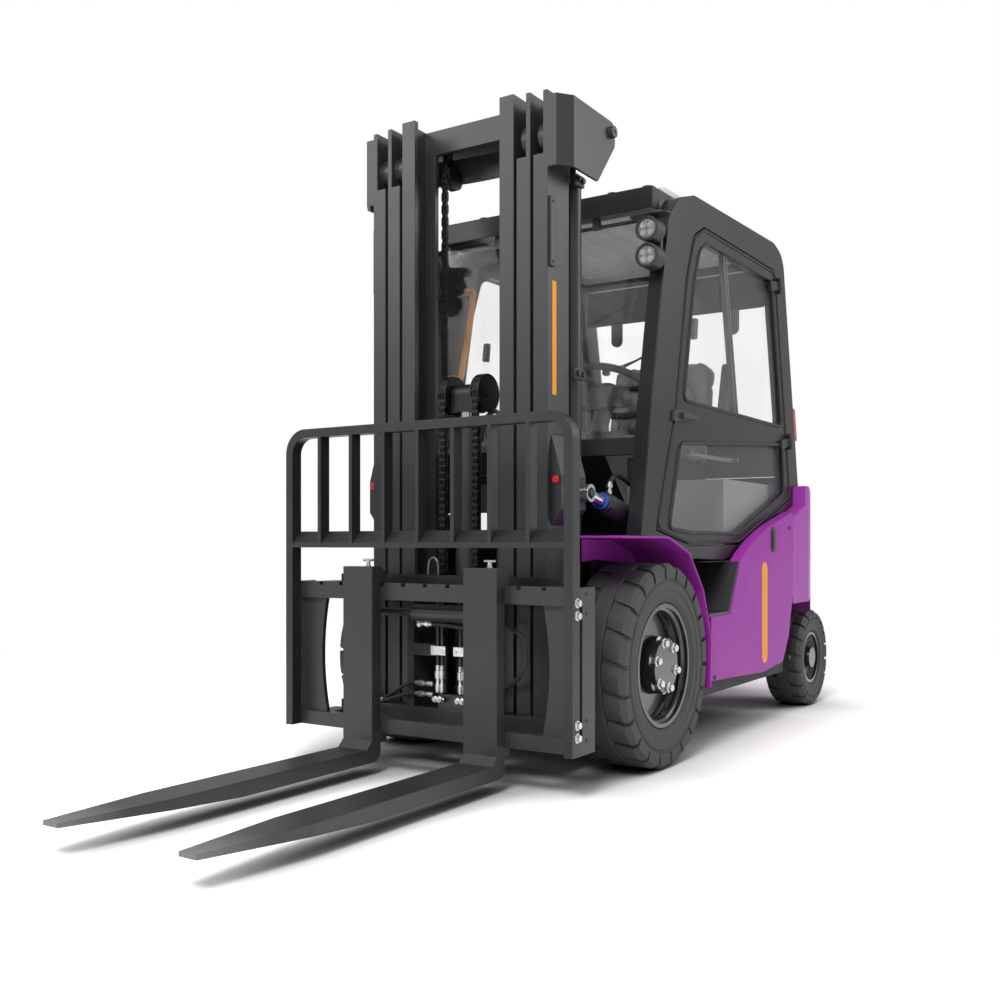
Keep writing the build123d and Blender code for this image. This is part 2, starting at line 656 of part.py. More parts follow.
# Outer mast: rails, roller and head bracket on each side, hinge plates and ties
with BuildPart() as mast_outer:
    for side_name, side in SIDES:
        low = OUTER_RAIL_OUT - OUTER_RAIL_WIDTH
        with BuildSketch(plan_plane(RAIL_BOTTOM)):
            Polygon(*channel_points(OUTER_RAIL_OUT, OUTER_RAIL_WIDTH, side), align=None)
        extrude(amount=OUTER_RAIL_TOP - RAIL_BOTTOM)
        with BuildSketch(front_plane(MAST_FRONT)):
            notch_middle = (NOTCH_BOTTOM + OUTER_RAIL_TOP) / 2
            with Locations((side * (low + OUTER_RAIL_OUT - RAIL_WEB) / 2, notch_middle)):
                Rectangle(OUTER_RAIL_WIDTH - RAIL_WEB, OUTER_RAIL_TOP - NOTCH_BOTTOM)
        extrude(amount=-RAIL_FLANGE, mode=Mode.SUBTRACT)
        with BuildSketch(side_plane(side * (OUTER_RAIL_OUT - RAIL_WEB))):
            with Locations((ROLLER_Y, ROLLER_Z)):
                Circle(ROLLER_RADIUS)
        extrude(amount=-side * (OUTER_RAIL_WIDTH - RAIL_WEB - ROLLER_SIDE_GAP))
        with BuildSketch(plan_plane(HEAD_BOTTOM)):
            Polygon(
                (side * OUTER_RAIL_OUT, MAST_FRONT),
                (side * HEAD_STRIP, MAST_FRONT),
                (side * HEAD_OUT, MAST_FRONT + HEAD_BEND),
                (side * HEAD_OUT, HEAD_TIP),
                (side * (HEAD_OUT - HEAD_PLATE), HEAD_TIP),
                (side * (HEAD_OUT - HEAD_PLATE), MAST_FRONT + HEAD_BEND + HEAD_PLATE / 2),
                (side * (HEAD_STRIP - HEAD_PLATE / 2), MAST_FRONT + HEAD_PLATE),
                (side * OUTER_RAIL_OUT, MAST_FRONT + HEAD_PLATE),
                align=None,
            )
        extrude(amount=HEAD_TOP - HEAD_BOTTOM)
        with BuildSketch(side_plane(side * OUTER_RAIL_OUT)):
            Polygon(
                (HEAD_TIP, HEAD_BOTTOM),
                (HEAD_CUT, HEAD_BOTTOM),
                (HEAD_TIP, HEAD_TOP - HEAD_TIP_HEIGHT),
                align=None,
            )
        extrude(amount=side * (HEAD_OUT - OUTER_RAIL_OUT), mode=Mode.SUBTRACT)
        plate_edges = mast_outer.edges().filter_by(Axis.X).filter_by_position(Axis.Z, HEAD_BOTTOM, HEAD_TOP)
        tip_edges = plate_edges.filter_by_position(Axis.X, *sorted((side * OUTER_RAIL_OUT, side * HEAD_OUT)))
        fillet(tip_edges.group_by(Axis.Y)[-1], HEAD_ROUND)
        with BuildSketch(side_plane(side * (HEAD_OUT - HEAD_PLATE))):
            with Locations((HEAD_TIP - HEAD_BOSS_INSET, HEAD_TOP - HEAD_TIP_HEIGHT / 2)):
                Circle(HEAD_BOSS_RADIUS)
                Circle(HEAD_HOLE, mode=Mode.SUBTRACT)
        extrude(amount=side * HEAD_BOSS)
        with BuildSketch(side_plane(side * (PIVOT_LUG_IN + PIVOT_LUG + MOVING_GAP))):
            with Locations((RAIL_BACK, TILT_PIVOT_Z)):
                Rectangle(HINGE_PLATE, HINGE_HEIGHT)
            with Locations((TILT_PIVOT_Y, TILT_PIVOT_Z)):
                Circle(PIVOT_EYE_RADIUS)
            make_hull()
            with Locations((TILT_PIVOT_Y, TILT_PIVOT_Z)):
                Circle(TILT_PIN_RADIUS + RUNNING_GAP, mode=Mode.SUBTRACT)
        extrude(amount=side * (OUTER_RAIL_OUT - PIVOT_LUG_IN - PIVOT_LUG - MOVING_GAP))
        for bottom, top in OUTER_TIES:
            with BuildSketch(plan_plane(bottom)):
                with Locations((side * (low + OUTER_RAIL_OUT) / 2, (RAIL_BACK + OUTER_CROSS_BACK) / 2)):
                    Rectangle(OUTER_RAIL_WIDTH, OUTER_CROSS_BACK - RAIL_BACK)
            extrude(amount=top - bottom)
    for bottom, top in OUTER_TIES[:-1]:
        with BuildSketch(plan_plane(bottom)):
            with Locations((0, OUTER_CROSS_Y + CROSS_PLATE / 2)):
                Rectangle(2 * OUTER_RAIL_OUT, CROSS_PLATE)
        extrude(amount=top - bottom)
    bow_bottom, bow_top = OUTER_TIES[-1]
    with BuildSketch(plan_plane(bow_bottom)):
        with BuildLine():
            ends = [(side * OUTER_RAIL_OUT, OUTER_CROSS_Y) for side_name, side in SIDES]
            backs = [(side * OUTER_RAIL_OUT, OUTER_CROSS_BACK) for side_name, side in SIDES]
            ThreePointArc(ends[0], (0, OUTER_CROSS_Y + HEAD_BOW), ends[1])
            Line(ends[1], backs[1])
            ThreePointArc(backs[1], (0, OUTER_CROSS_BACK + HEAD_BOW), backs[0])
            Line(backs[0], ends[0])
        make_face()
    extrude(amount=bow_top - bow_bottom)
save(mast_outer.part, "mast_outer")

# Tilt brackets: a folded plate welded to each outer rail, with the pin of the tilt rod's eye
with BuildPart() as tilt_brackets:
    for side_name, side in SIDES:
        with BuildSketch(front_plane(MAST_FRONT + TILT_LUG_SETBACK)):
            Polygon(
                (side * OUTER_RAIL_OUT, TILT_EYE_Z + TILT_LUG_UP),
                (side * TILT_LUG_OUT, TILT_EYE_Z + TILT_LUG_FACE / 2),
                (side * TILT_LUG_OUT, TILT_EYE_Z - TILT_LUG_FACE / 2),
                (side * OUTER_RAIL_OUT, TILT_EYE_Z - TILT_LUG_DOWN),
                align=None,
            )
        extrude(amount=MAST_FRONT + TILT_LUG_SETBACK - TILT_EYE_Y - TILT_EYE_RADIUS)
        with BuildSketch(side_plane(side * OUTER_RAIL_OUT)):
            with Locations((TILT_EYE_Y, TILT_EYE_Z)):
                Circle(TILT_PIN)
        extrude(amount=side * (TILT_X + TILT_EYE_WIDTH / 2 + MOVING_GAP - OUTER_RAIL_OUT))
save(tilt_brackets.part, "tilt_brackets")

# Main lift barrels: tubes behind the outer rails, each standing on a foot block
with BuildPart() as lift_barrels:
    for side_name, side in SIDES:
        with BuildSketch(plan_plane(LIFT_FOOT)):
            with Locations((side * LIFT_CYLINDER_X, LIFT_CYLINDER_Y)):
                Circle(LIFT_BARREL_RADIUS)
        extrude(amount=LIFT_BARREL_TOP - LIFT_FOOT)
        with BuildSketch(plan_plane(LIFT_FOOT)):
            with Locations((side * LIFT_CYLINDER_X, (LIFT_CYLINDER_Y + OUTER_CROSS_BACK) / 2)):
                Rectangle(LIFT_BARREL_RADIUS, LIFT_CYLINDER_Y - OUTER_CROSS_BACK)
        extrude(amount=LIFT_FOOT_HEIGHT)
        with BuildSketch(plan_plane(LIFT_FOOT + LIFT_FOOT_HEIGHT)):
            with Locations((side * LIFT_CYLINDER_X, LIFT_CYLINDER_Y)):
                Circle(LIFT_ROD_RADIUS + RUNNING_GAP)
        extrude(amount=LIFT_BARREL_TOP - LIFT_FOOT - LIFT_FOOT_HEIGHT, mode=Mode.SUBTRACT)
save(lift_barrels.part, "lift_barrels")

# Middle mast: rails with outside foot rollers, and a top yoke that the lift rods push
with BuildPart() as mast_middle:
    low = MIDDLE_RAIL_OUT - MIDDLE_RAIL_WIDTH
    for side_name, side in SIDES:
        with BuildSketch(plan_plane(RAIL_BOTTOM)):
            Polygon(*channel_points(MIDDLE_RAIL_OUT, MIDDLE_RAIL_WIDTH, side), align=None)
        extrude(amount=MIDDLE_RAIL_TOP - RAIL_BOTTOM)
        with BuildSketch(front_plane(MAST_FRONT)):
            notch_middle = (NOTCH_BOTTOM + MIDDLE_RAIL_TOP) / 2
            with Locations((side * (low + MIDDLE_RAIL_OUT - RAIL_WEB) / 2, notch_middle)):
                Rectangle(MIDDLE_RAIL_WIDTH - RAIL_WEB, MIDDLE_RAIL_TOP - NOTCH_BOTTOM)
        extrude(amount=-RAIL_FLANGE, mode=Mode.SUBTRACT)
        with BuildSketch(side_plane(side * (MIDDLE_RAIL_OUT - RAIL_WEB))):
            with Locations((ROLLER_Y, ROLLER_Z)):
                Circle(ROLLER_RADIUS)
        extrude(amount=-side * (MIDDLE_RAIL_WIDTH - RAIL_WEB - ROLLER_SIDE_GAP))
        with BuildSketch(side_plane(side * MIDDLE_RAIL_OUT)):
            with Locations((ROLLER_Y, RAIL_BOTTOM + FOOT_ROLLER_RISE)):
                Circle(ROLLER_RADIUS)
        extrude(amount=side * (RAIL_GAP + OUTER_RAIL_WIDTH - RAIL_WEB - ROLLER_SIDE_GAP))
        for bottom, top in MIDDLE_TIES:
            with BuildSketch(plan_plane(bottom)):
                cross_middle = RAIL_BACK + (MOVING_GAP + CROSS_PLATE) / 2
                with Locations((side * (low + MIDDLE_RAIL_OUT) / 2, cross_middle)):
                    Rectangle(MIDDLE_RAIL_WIDTH, MOVING_GAP + CROSS_PLATE)
            extrude(amount=top - bottom)
    for bottom, top in MIDDLE_TIES:
        with BuildSketch(plan_plane(bottom)):
            with Locations((0, MIDDLE_CROSS_Y + CROSS_PLATE / 2)):
                Rectangle(2 * MIDDLE_RAIL_OUT, CROSS_PLATE)
        extrude(amount=top - bottom)
    yoke_bottom, yoke_top = MIDDLE_TIES[-1]
    with BuildSketch(plan_plane(yoke_bottom)):
        for side_name, side in SIDES:
            with Locations((side * LIFT_CYLINDER_X, LIFT_CYLINDER_Y)):
                Circle(LIFT_BARREL_RADIUS)
            with Locations((side * MIDDLE_RAIL_OUT, MIDDLE_CROSS_Y + CROSS_PLATE / 2)):
                Circle(CROSS_PLATE / 2)
        make_hull()
    extrude(amount=yoke_top - yoke_bottom)
save(mast_middle.part, "mast_middle")

# Main lift rods: chromed, from inside the barrels up to the yoke
with BuildPart() as lift_rods:
    with BuildSketch(plan_plane(LIFT_FOOT + LIFT_FOOT_HEIGHT + MOVING_GAP)):
        for side_name, side in SIDES:
            with Locations((side * LIFT_CYLINDER_X, LIFT_CYLINDER_Y)):
                Circle(LIFT_ROD_RADIUS)
    extrude(amount=yoke_bottom - LIFT_FOOT - LIFT_FOOT_HEIGHT - MOVING_GAP)
save(lift_rods.part, "lift_rods")

# Inner mast: the rails that guide the carriage, tied at the back above and below
with BuildPart() as mast_inner:
    for side_name, side in SIDES:
        with BuildSketch(plan_plane(RAIL_BOTTOM)):
            Polygon(*channel_points(INNER_RAIL_OUT, INNER_RAIL_WIDTH, side), align=None)
        extrude(amount=INNER_RAIL_TOP - RAIL_BOTTOM)
        with BuildSketch(side_plane(side * INNER_RAIL_OUT)):
            with Locations((ROLLER_Y, RAIL_BOTTOM + FOOT_ROLLER_RISE)):
                Circle(ROLLER_RADIUS)
        extrude(amount=side * (RAIL_GAP + MIDDLE_RAIL_WIDTH - RAIL_WEB - ROLLER_SIDE_GAP))
    for bottom, top in INNER_TIES:
        with BuildSketch(plan_plane(bottom)):
            with Locations((0, RAIL_BACK - RAIL_FLANGE / 2)):
                Rectangle(2 * INNER_RAIL_IN, RAIL_FLANGE)
        extrude(amount=top - bottom)
    shelf_bottom, shelf_top = INNER_TIES[0]
    with BuildSketch(plan_plane(shelf_bottom)):
        with Locations((0, (FREE_CYLINDER_Y - FREE_BARREL_RADIUS + RAIL_BACK) / 2)):
            Rectangle(2 * FREE_BARREL_RADIUS, RAIL_BACK - FREE_CYLINDER_Y + FREE_BARREL_RADIUS)
    extrude(amount=CROSS_PLATE)
save(mast_inner.part, "mast_inner")


# Free lift cylinder: the barrel stands on the inner mast's shelf, the rod carries the crosshead
with BuildPart() as free_lift_barrel:
    with BuildSketch(plan_plane(shelf_bottom + CROSS_PLATE)):
        with Locations((0, FREE_CYLINDER_Y)):
            Circle(FREE_BARREL_RADIUS)
    extrude(amount=FREE_BARREL_TOP - shelf_bottom - CROSS_PLATE)
    with BuildSketch(plan_plane(shelf_bottom + 2 * CROSS_PLATE)):
        with Locations((0, FREE_CYLINDER_Y)):
            Circle(FREE_ROD_RADIUS + RUNNING_GAP)
    extrude(amount=FREE_BARREL_TOP - shelf_bottom - 2 * CROSS_PLATE, mode=Mode.SUBTRACT)
save(free_lift_barrel.part, "free_lift_barrel")

with BuildPart() as free_lift_rod:
    with BuildSketch(plan_plane(shelf_bottom + 2 * CROSS_PLATE + MOVING_GAP)):
        with Locations((0, FREE_CYLINDER_Y)):
            Circle(FREE_ROD_RADIUS)
    extrude(amount=SHEAVE_Z - CROSSHEAD_DROP - shelf_bottom - 2 * CROSS_PLATE - MOVING_GAP)
save(free_lift_rod.part, "free_lift_rod")

SHEAVE_IN = SHEAVE_X - SHEAVE_WIDTH / 2
with BuildPart() as free_lift_head:
    with BuildSketch(side_plane(-SHEAVE_IN + SHEAVE_GAP)):
        with Locations((FREE_CYLINDER_Y, SHEAVE_Z)):
            Circle(CROSSHEAD_RADIUS)
        with Locations((FREE_CYLINDER_Y, SHEAVE_Z - CROSSHEAD_DROP / 2)):
            Rectangle(2 * CROSSHEAD_RADIUS, CROSSHEAD_DROP)
    extrude(amount=2 * (SHEAVE_IN - SHEAVE_GAP))
    with BuildSketch(side_plane(0)):
        with Locations((FREE_CYLINDER_Y, SHEAVE_Z)):
            Circle(SHEAVE_PIN_RADIUS)
    extrude(amount=SHEAVE_IN + SHEAVE_WIDTH + SHEAVE_GAP, both=True)
    for side_name, side in SIDES:
        with BuildSketch(wheel_plane(FREE_CYLINDER_Y, SHEAVE_Z)):
            Polygon(
                (side * SHEAVE_IN, SHEAVE_PIN_RADIUS / 2),
                (side * SHEAVE_IN, SHEAVE_RADIUS + SHEAVE_LIP),
                (side * (SHEAVE_IN + SHEAVE_GAP), SHEAVE_RADIUS + SHEAVE_LIP),
                (side * (SHEAVE_IN + SHEAVE_GAP), SHEAVE_RADIUS),
                (side * (SHEAVE_IN + SHEAVE_WIDTH - SHEAVE_GAP), SHEAVE_RADIUS),
                (side * (SHEAVE_IN + SHEAVE_WIDTH - SHEAVE_GAP), SHEAVE_RADIUS + SHEAVE_LIP),
                (side * (SHEAVE_IN + SHEAVE_WIDTH), SHEAVE_RADIUS + SHEAVE_LIP),
                (side * (SHEAVE_IN + SHEAVE_WIDTH), SHEAVE_PIN_RADIUS / 2),
                align=None,
            )
        revolve(axis=Axis((0, Y_AXLE + FREE_CYLINDER_Y, SHEAVE_Z), (1, 0, 0)))
save(free_lift_head.part, "free_lift_head")

# Carriage: two guide plates with rollers inside the inner rails, and the bars of the side shift
PLATE_OUT = INNER_RAIL_IN - MOVING_GAP
CHAIN_IN = SHEAVE_X - CHAIN_WIDTH / 2
CARRIAGE_BACK = MAST_FRONT - MOVING_GAP
CARRIAGE_FRONT = CARRIAGE_BACK - CARRIAGE_BAR
FORK_BACK = FORK_THICKNESS - FACE_TO_AXLE
FORK_BAR_BACK = FORK_BACK + FORK_BAR_DEPTH
with BuildPart() as carriage:
    for side_name, side in SIDES:
        with BuildSketch(side_plane(side * (PLATE_OUT - CARRIAGE_PLATE))):
            with Locations(((CARRIAGE_FRONT + GUIDE_BACK) / 2, (LOW_BAR_BOTTOM + TOP_BAR_TOP) / 2)):
                Rectangle(GUIDE_BACK - CARRIAGE_FRONT, TOP_BAR_TOP - LOW_BAR_BOTTOM)
        extrude(amount=side * CARRIAGE_PLATE)
        with BuildSketch(side_plane(side * (PLATE_OUT - CARRIAGE_PLATE / 2))):
            with Locations((ROLLER_Y, CARRIAGE_ROLLER_LOW), (ROLLER_Y, CARRIAGE_ROLLER_HIGH)):
                Circle(SHEAVE_PIN_RADIUS)
        extrude(amount=side * (INNER_RAIL_OUT - RAIL_WEB - ROLLER_SIDE_GAP - PLATE_OUT))
        with BuildSketch(side_plane(side * (INNER_RAIL_OUT - RAIL_WEB - ROLLER_SIDE_GAP))):
            with Locations((ROLLER_Y, CARRIAGE_ROLLER_LOW), (ROLLER_Y, CARRIAGE_ROLLER_HIGH)):
                Circle(ROLLER_RADIUS)
        extrude(amount=-side * (INNER_RAIL_WIDTH - RAIL_WEB - 2 * ROLLER_SIDE_GAP))
        with BuildSketch(plan_plane(CHAIN_ANCHOR - CHAIN_SEAT)):
            anchor_back = CHAIN_FRONT + CHAIN_THICKNESS
            with Locations((side * (CHAIN_IN + PLATE_OUT) / 2, (CARRIAGE_FRONT + anchor_back) / 2)):
                Rectangle(PLATE_OUT - CHAIN_IN, anchor_back - CARRIAGE_FRONT)
        extrude(amount=CHAIN_SEAT)
    for bottom, top in CARRIAGE_BARS:
        with BuildSketch(plan_plane(bottom)):
            with Locations((0, (CARRIAGE_FRONT + CARRIAGE_BACK) / 2)):
                Rectangle(2 * CARRIAGE_HALF, CARRIAGE_BAR)
        extrude(amount=top - bottom)
save(carriage.part, "carriage")

# Chains of the free lift: a leaf chain runs down from each sheave to the carriage's anchor
with BuildPart() as free_chains:
    for side_name, side in SIDES:
        with BuildSketch(plan_plane(CHAIN_ANCHOR)):
            with Locations((side * SHEAVE_X, CHAIN_FRONT + CHAIN_THICKNESS / 2)):
                Rectangle(CHAIN_WIDTH, CHAIN_THICKNESS)
        extrude(amount=SHEAVE_Z - CHAIN_ANCHOR)
save(free_chains.part, "free_chains")


def shift_plane(x):
    """Plane square to the side shift cylinder at x."""
    return Plane(origin=(x, Y_AXLE + SHIFT_CYLINDER_Y, SHIFT_CYLINDER_Z), z_dir=(1, 0, 0))


# Side shift frame: fork bars above and below, end plates with a waisted edge, sliding pads behind
PAD_BACK = CARRIAGE_FRONT - RUNNING_GAP
with BuildPart() as side_shift_frame:
    for bottom, top in FORK_BARS:
        with BuildSketch(plan_plane(bottom)):
            with Locations((0, (FORK_BACK + FORK_BAR_BACK) / 2)):
                Rectangle(2 * FORK_BAR_HALF, FORK_BAR_DEPTH)
        extrude(amount=top - bottom)
        with BuildSketch(plan_plane(bottom)):
            for side_name, side in SIDES:
                with Locations((side * SHIFT_PLATE_X, (FORK_BAR_BACK + PAD_BACK) / 2)):
                    Rectangle(SHIFT_PAD, PAD_BACK - FORK_BAR_BACK)
        extrude(amount=top - bottom)
    for side_name, side in SIDES:
        with BuildSketch(front_plane(FORK_BAR_BACK)):
            with BuildLine():
                low = (side * (SHIFT_PLATE_X - SHIFT_PAD / 2), FORK_BARS[0][0])
                high = (side * (SHIFT_PLATE_X - SHIFT_PAD / 2), FORK_BARS[1][1])
                middle = (side * SHIFT_PLATE_X, (FORK_BARS[0][0] + FORK_BARS[1][1]) / 2)
                ThreePointArc(low, middle, high)
                end = side * FORK_BAR_HALF
                Polyline(high, (end, FORK_BARS[1][1]), (end, FORK_BARS[0][0]), low)
            make_face()
        extrude(amount=FORK_BAR_DEPTH / 2)
        with BuildSketch(plan_plane(FORK_BARS[0][0])):
            with Locations((side * (FORK_BAR_HALF - END_ANGLE / 2), FORK_BAR_BACK + END_ANGLE_DEPTH / 2)):
                Rectangle(END_ANGLE, END_ANGLE_DEPTH)
        extrude(amount=FORK_BARS[1][1] - FORK_BARS[0][0])
    with BuildSketch(front_plane(FORK_BAR_BACK)):
        with Locations((0, FORK_BARS[1][1])):
            with GridLocations(BAR_NOTCH_STEP, 0, BAR_NOTCHES, 1):
                Rectangle(BAR_NOTCH, 2 * BAR_NOTCH_DEPTH)
    extrude(amount=FORK_BAR_DEPTH, mode=Mode.SUBTRACT)
    with BuildSketch(front_plane(FORK_BAR_BACK)):
        with Locations((-SHIFT_ROD_END, SHIFT_CYLINDER_Z)):
            Rectangle(SHIFT_LUG, 2 * SHIFT_CYLINDER_RADIUS)
        with Locations((-SHIFT_ROD_END, (SHIFT_CYLINDER_Z + FORK_BARS[1][0]) / 2)):
            Rectangle(SHIFT_LUG, FORK_BARS[1][0] - SHIFT_CYLINDER_Z + FORK_BAR_DEPTH)
    extrude(amount=-(SHIFT_CYLINDER_Y - FORK_BAR_BACK + SHIFT_ROD_RADIUS))
    with BuildSketch(shift_plane(-SHIFT_ROD_END)):
        Circle(SHIFT_ROD_RADIUS)
    extrude(amount=SHIFT_ROD_END + SHIFT_ROD_REACH)
save(side_shift_frame.part, "side_shift_frame")

# Side shift cylinder: a short barrel that a bracket holds to the carriage's upper bar
with BuildPart() as side_shift_cylinder:
    with BuildSketch(shift_plane(SHIFT_BARREL_LOW)):
        Circle(SHIFT_CYLINDER_RADIUS)
        Circle(SHIFT_ROD_RADIUS + RUNNING_GAP, mode=Mode.SUBTRACT)
    extrude(amount=SHIFT_BARREL_HIGH - SHIFT_BARREL_LOW)
    with BuildSketch(shift_plane(SHIFT_BARREL_HIGH)):
        Circle(SHIFT_CYLINDER_RADIUS)
    extrude(amount=SHIFT_ROD_RADIUS)
    with BuildSketch(front_plane(CARRIAGE_FRONT)):
        with Locations((SHIFT_BARREL_HIGH - SHIFT_LUG, SHIFT_CYLINDER_Z)):
            Rectangle(SHIFT_LUG, 2 * SHIFT_CYLINDER_RADIUS)
    extrude(amount=CARRIAGE_FRONT - SHIFT_CYLINDER_Y - SHIFT_ROD_RADIUS - MOVING_GAP)
save(side_shift_cylinder.part, "side_shift_cylinder")

# Main lift chains: from the sheaves under the yoke down to the foot of the inner mast
with BuildPart() as lift_chains:
    for side_name, side in SIDES:
        with BuildSketch(plan_plane(INNER_TIES[0][1])):
            with Locations((side * LIFT_CHAIN_X, RAIL_BACK - RAIL_FLANGE / 2)):
                Rectangle(CHAIN_WIDTH, CHAIN_THICKNESS)
        extrude(amount=LIFT_SHEAVE_Z - INNER_TIES[0][1])
save(lift_chains.part, "lift_chains")

LIFT_SHEAVE_Y = RAIL_BACK - RAIL_FLANGE / 2 + CHAIN_THICKNESS / 2 + LIFT_SHEAVE_RADIUS
with BuildPart() as lift_sheaves:
    for side_name, side in SIDES:
        with BuildSketch(side_plane(side * (LIFT_CHAIN_X - CHAIN_WIDTH / 2))):
            with Locations((LIFT_SHEAVE_Y, LIFT_SHEAVE_Z)):
                Circle(LIFT_SHEAVE_RADIUS)
        extrude(amount=side * CHAIN_WIDTH)
        with BuildSketch(side_plane(side * (LIFT_CHAIN_X + CHAIN_WIDTH / 2))):
            with Locations((LIFT_SHEAVE_Y, LIFT_SHEAVE_Z)):
                Circle(SHEAVE_PIN_RADIUS)
            with Locations((LIFT_SHEAVE_Y, (LIFT_SHEAVE_Z + yoke_bottom) / 2)):
                Rectangle(2 * SHEAVE_PIN_RADIUS, yoke_bottom - LIFT_SHEAVE_Z)
        extrude(amount=side * SHEAVE_PIN_RADIUS)
save(lift_sheaves.part, "lift_sheaves")

# Load guard: a bent outer bar, upright flat bars on edge, and a gusseted shelf
with BuildPart() as load_guard:
    with BuildSketch(front_plane(FORK_BACK)):
        with BuildLine():
            FilletPolyline(
                (-GUARD_HALF, LOW_BAR_BOTTOM),
                (-GUARD_HALF, GUARD_TOP),
                (GUARD_HALF, GUARD_TOP),
                (GUARD_HALF, LOW_BAR_BOTTOM),
                radius=GUARD_CORNER,
            )
            offset(amount=GUARD_UPRIGHT, side=Side.RIGHT)
        make_face()
        inner = GUARD_HALF - GUARD_UPRIGHT
        with Locations((0, GUARD_SHELF)):
            Rectangle(2 * inner, GUARD_BAR)
        with GridLocations(GUARD_BAR_STEP, 0, GUARD_BARS, 1):
            with Locations((0, (GUARD_SHELF + GUARD_TOP) / 2)):
                Rectangle(GUARD_BAR, GUARD_TOP - GUARD_SHELF - GUARD_BAR)
    extrude(amount=GUARD_DEPTH)
save(load_guard.part, "load_guard")

# Forks: a forged angle that thins to a narrow tip, hooked over the fork bars
for side_name, side in SIDES:
    with BuildPart() as fork:
        with BuildSketch(side_plane(side * (FORK_X - FORK_WIDTH / 2))):
            Polygon(
                (-FACE_TO_AXLE - FORK_LENGTH, FORK_BLADE_TOP),
                (-FACE_TO_AXLE - FORK_LENGTH, FORK_BLADE_TOP - FORK_TIP_THICKNESS),
                (-FACE_TO_AXLE - FORK_LENGTH / 2, FORK_BLADE_TOP - FORK_THICKNESS),
                (FORK_BACK - FORK_THICKNESS / 2, FORK_BLADE_TOP - FORK_THICKNESS),
                (FORK_BACK, FORK_BLADE_TOP - FORK_THICKNESS / 2),
                (FORK_BACK, FORK_BARS[0][0] - FORK_HOOK),
                (FORK_BAR_BACK, FORK_BARS[0][0] - FORK_HOOK),
                (FORK_BAR_BACK, FORK_BARS[0][0]),
                (FORK_BACK, FORK_BARS[0][0]),
                (FORK_BACK, FORK_BARS[1][1]),
                (FORK_BAR_BACK, FORK_BARS[1][1]),
                (FORK_BAR_BACK, FORK_BARS[1][1] + FORK_HOOK),
                (FORK_BACK, FORK_TOP),
                (-FACE_TO_AXLE, FORK_TOP),
                (-FACE_TO_AXLE, FORK_BLADE_TOP + FORK_HEEL),
                (-FACE_TO_AXLE - FORK_HEEL, FORK_BLADE_TOP),
                align=None,
            )
        extrude(amount=side * FORK_WIDTH)
        with BuildSketch(plan_plane(0)):
            Polygon(
                (side * (FORK_X - FORK_TIP_WIDTH / 2), -FACE_TO_AXLE - FORK_LENGTH),
                (side * (FORK_X - FORK_WIDTH / 2), FORK_TAPER - FACE_TO_AXLE - FORK_LENGTH),
                (side * (FORK_X - FORK_WIDTH / 2), FORK_BAR_BACK),
                (side * (FORK_X + FORK_WIDTH / 2), FORK_BAR_BACK),
                (side * (FORK_X + FORK_WIDTH / 2), FORK_TAPER - FACE_TO_AXLE - FORK_LENGTH),
                (side * (FORK_X + FORK_TIP_WIDTH / 2), -FACE_TO_AXLE - FORK_LENGTH),
                align=None,
            )
        extrude(amount=FORK_TOP, mode=Mode.INTERSECT)
    save(fork.part, f"fork_{side_name}")

# Tilt cylinders, laid between the mast's side pins and the pins on the front of the chassis
TILT_RUN = hypot(TILT_ANCHOR_Y - TILT_EYE_Y, TILT_ANCHOR_Z - TILT_EYE_Z)
TILT_DIRECTION = (0, (TILT_ANCHOR_Y - TILT_EYE_Y) / TILT_RUN, (TILT_ANCHOR_Z - TILT_EYE_Z) / TILT_RUN)


def tilt_plane(side, along):
    """Plane across a tilt cylinder, at a distance from its rod's eye."""
    return Plane(
        origin=(
            side * TILT_X,
            Y_AXLE + TILT_EYE_Y + along * TILT_DIRECTION[1],
            TILT_EYE_Z + along * TILT_DIRECTION[2],
        ),
        z_dir=TILT_DIRECTION,
    )


with BuildPart() as tilt_rods:
    for side_name, side in SIDES:
        with BuildSketch(tilt_plane(side, 0)):
            Circle(TILT_ROD_RADIUS)
        extrude(amount=TILT_ROD_LENGTH)
        with BuildSketch(side_plane(side * TILT_X)):
            with Locations((TILT_EYE_Y, TILT_EYE_Z)):
                Circle(TILT_EYE_RADIUS)
        extrude(amount=TILT_EYE_WIDTH / 2, both=True)
        with BuildSketch(side_plane(side * TILT_X)):
            with Locations((TILT_EYE_Y, TILT_EYE_Z)):
                Circle(TILT_PIN + PIN_GAP)
        extrude(amount=TILT_BARREL_RADIUS, both=True, mode=Mode.SUBTRACT)
save(tilt_rods.part, "tilt_rods")

with BuildPart() as tilt_barrels:
    for side_name, side in SIDES:
        with BuildSketch(tilt_plane(side, TILT_SEAL)):
            Circle(TILT_BARREL_RADIUS)
        extrude(amount=TILT_RUN - TILT_SEAL - TILT_EYE_RADIUS / 2)
        with BuildSketch(tilt_plane(side, TILT_SEAL)):
            Circle(TILT_ROD_RADIUS + RUNNING_GAP)
        extrude(amount=TILT_ROD_LENGTH + TILT_STROKE - TILT_SEAL, mode=Mode.SUBTRACT)
        with BuildSketch(side_plane(side * TILT_X)):
            with Locations((TILT_ANCHOR_Y, TILT_ANCHOR_Z)):
                Circle(TILT_EYE_RADIUS)
        extrude(amount=TILT_EYE_WIDTH / 2, both=True)
        with BuildSketch(side_plane(side * TILT_X)):
            with Locations((TILT_ANCHOR_Y, TILT_ANCHOR_Z)):
                Circle(TILT_PIN + RUNNING_GAP)
        extrude(amount=TILT_BARREL_RADIUS, both=True, mode=Mode.SUBTRACT)
save(tilt_barrels.part, "tilt_barrels")

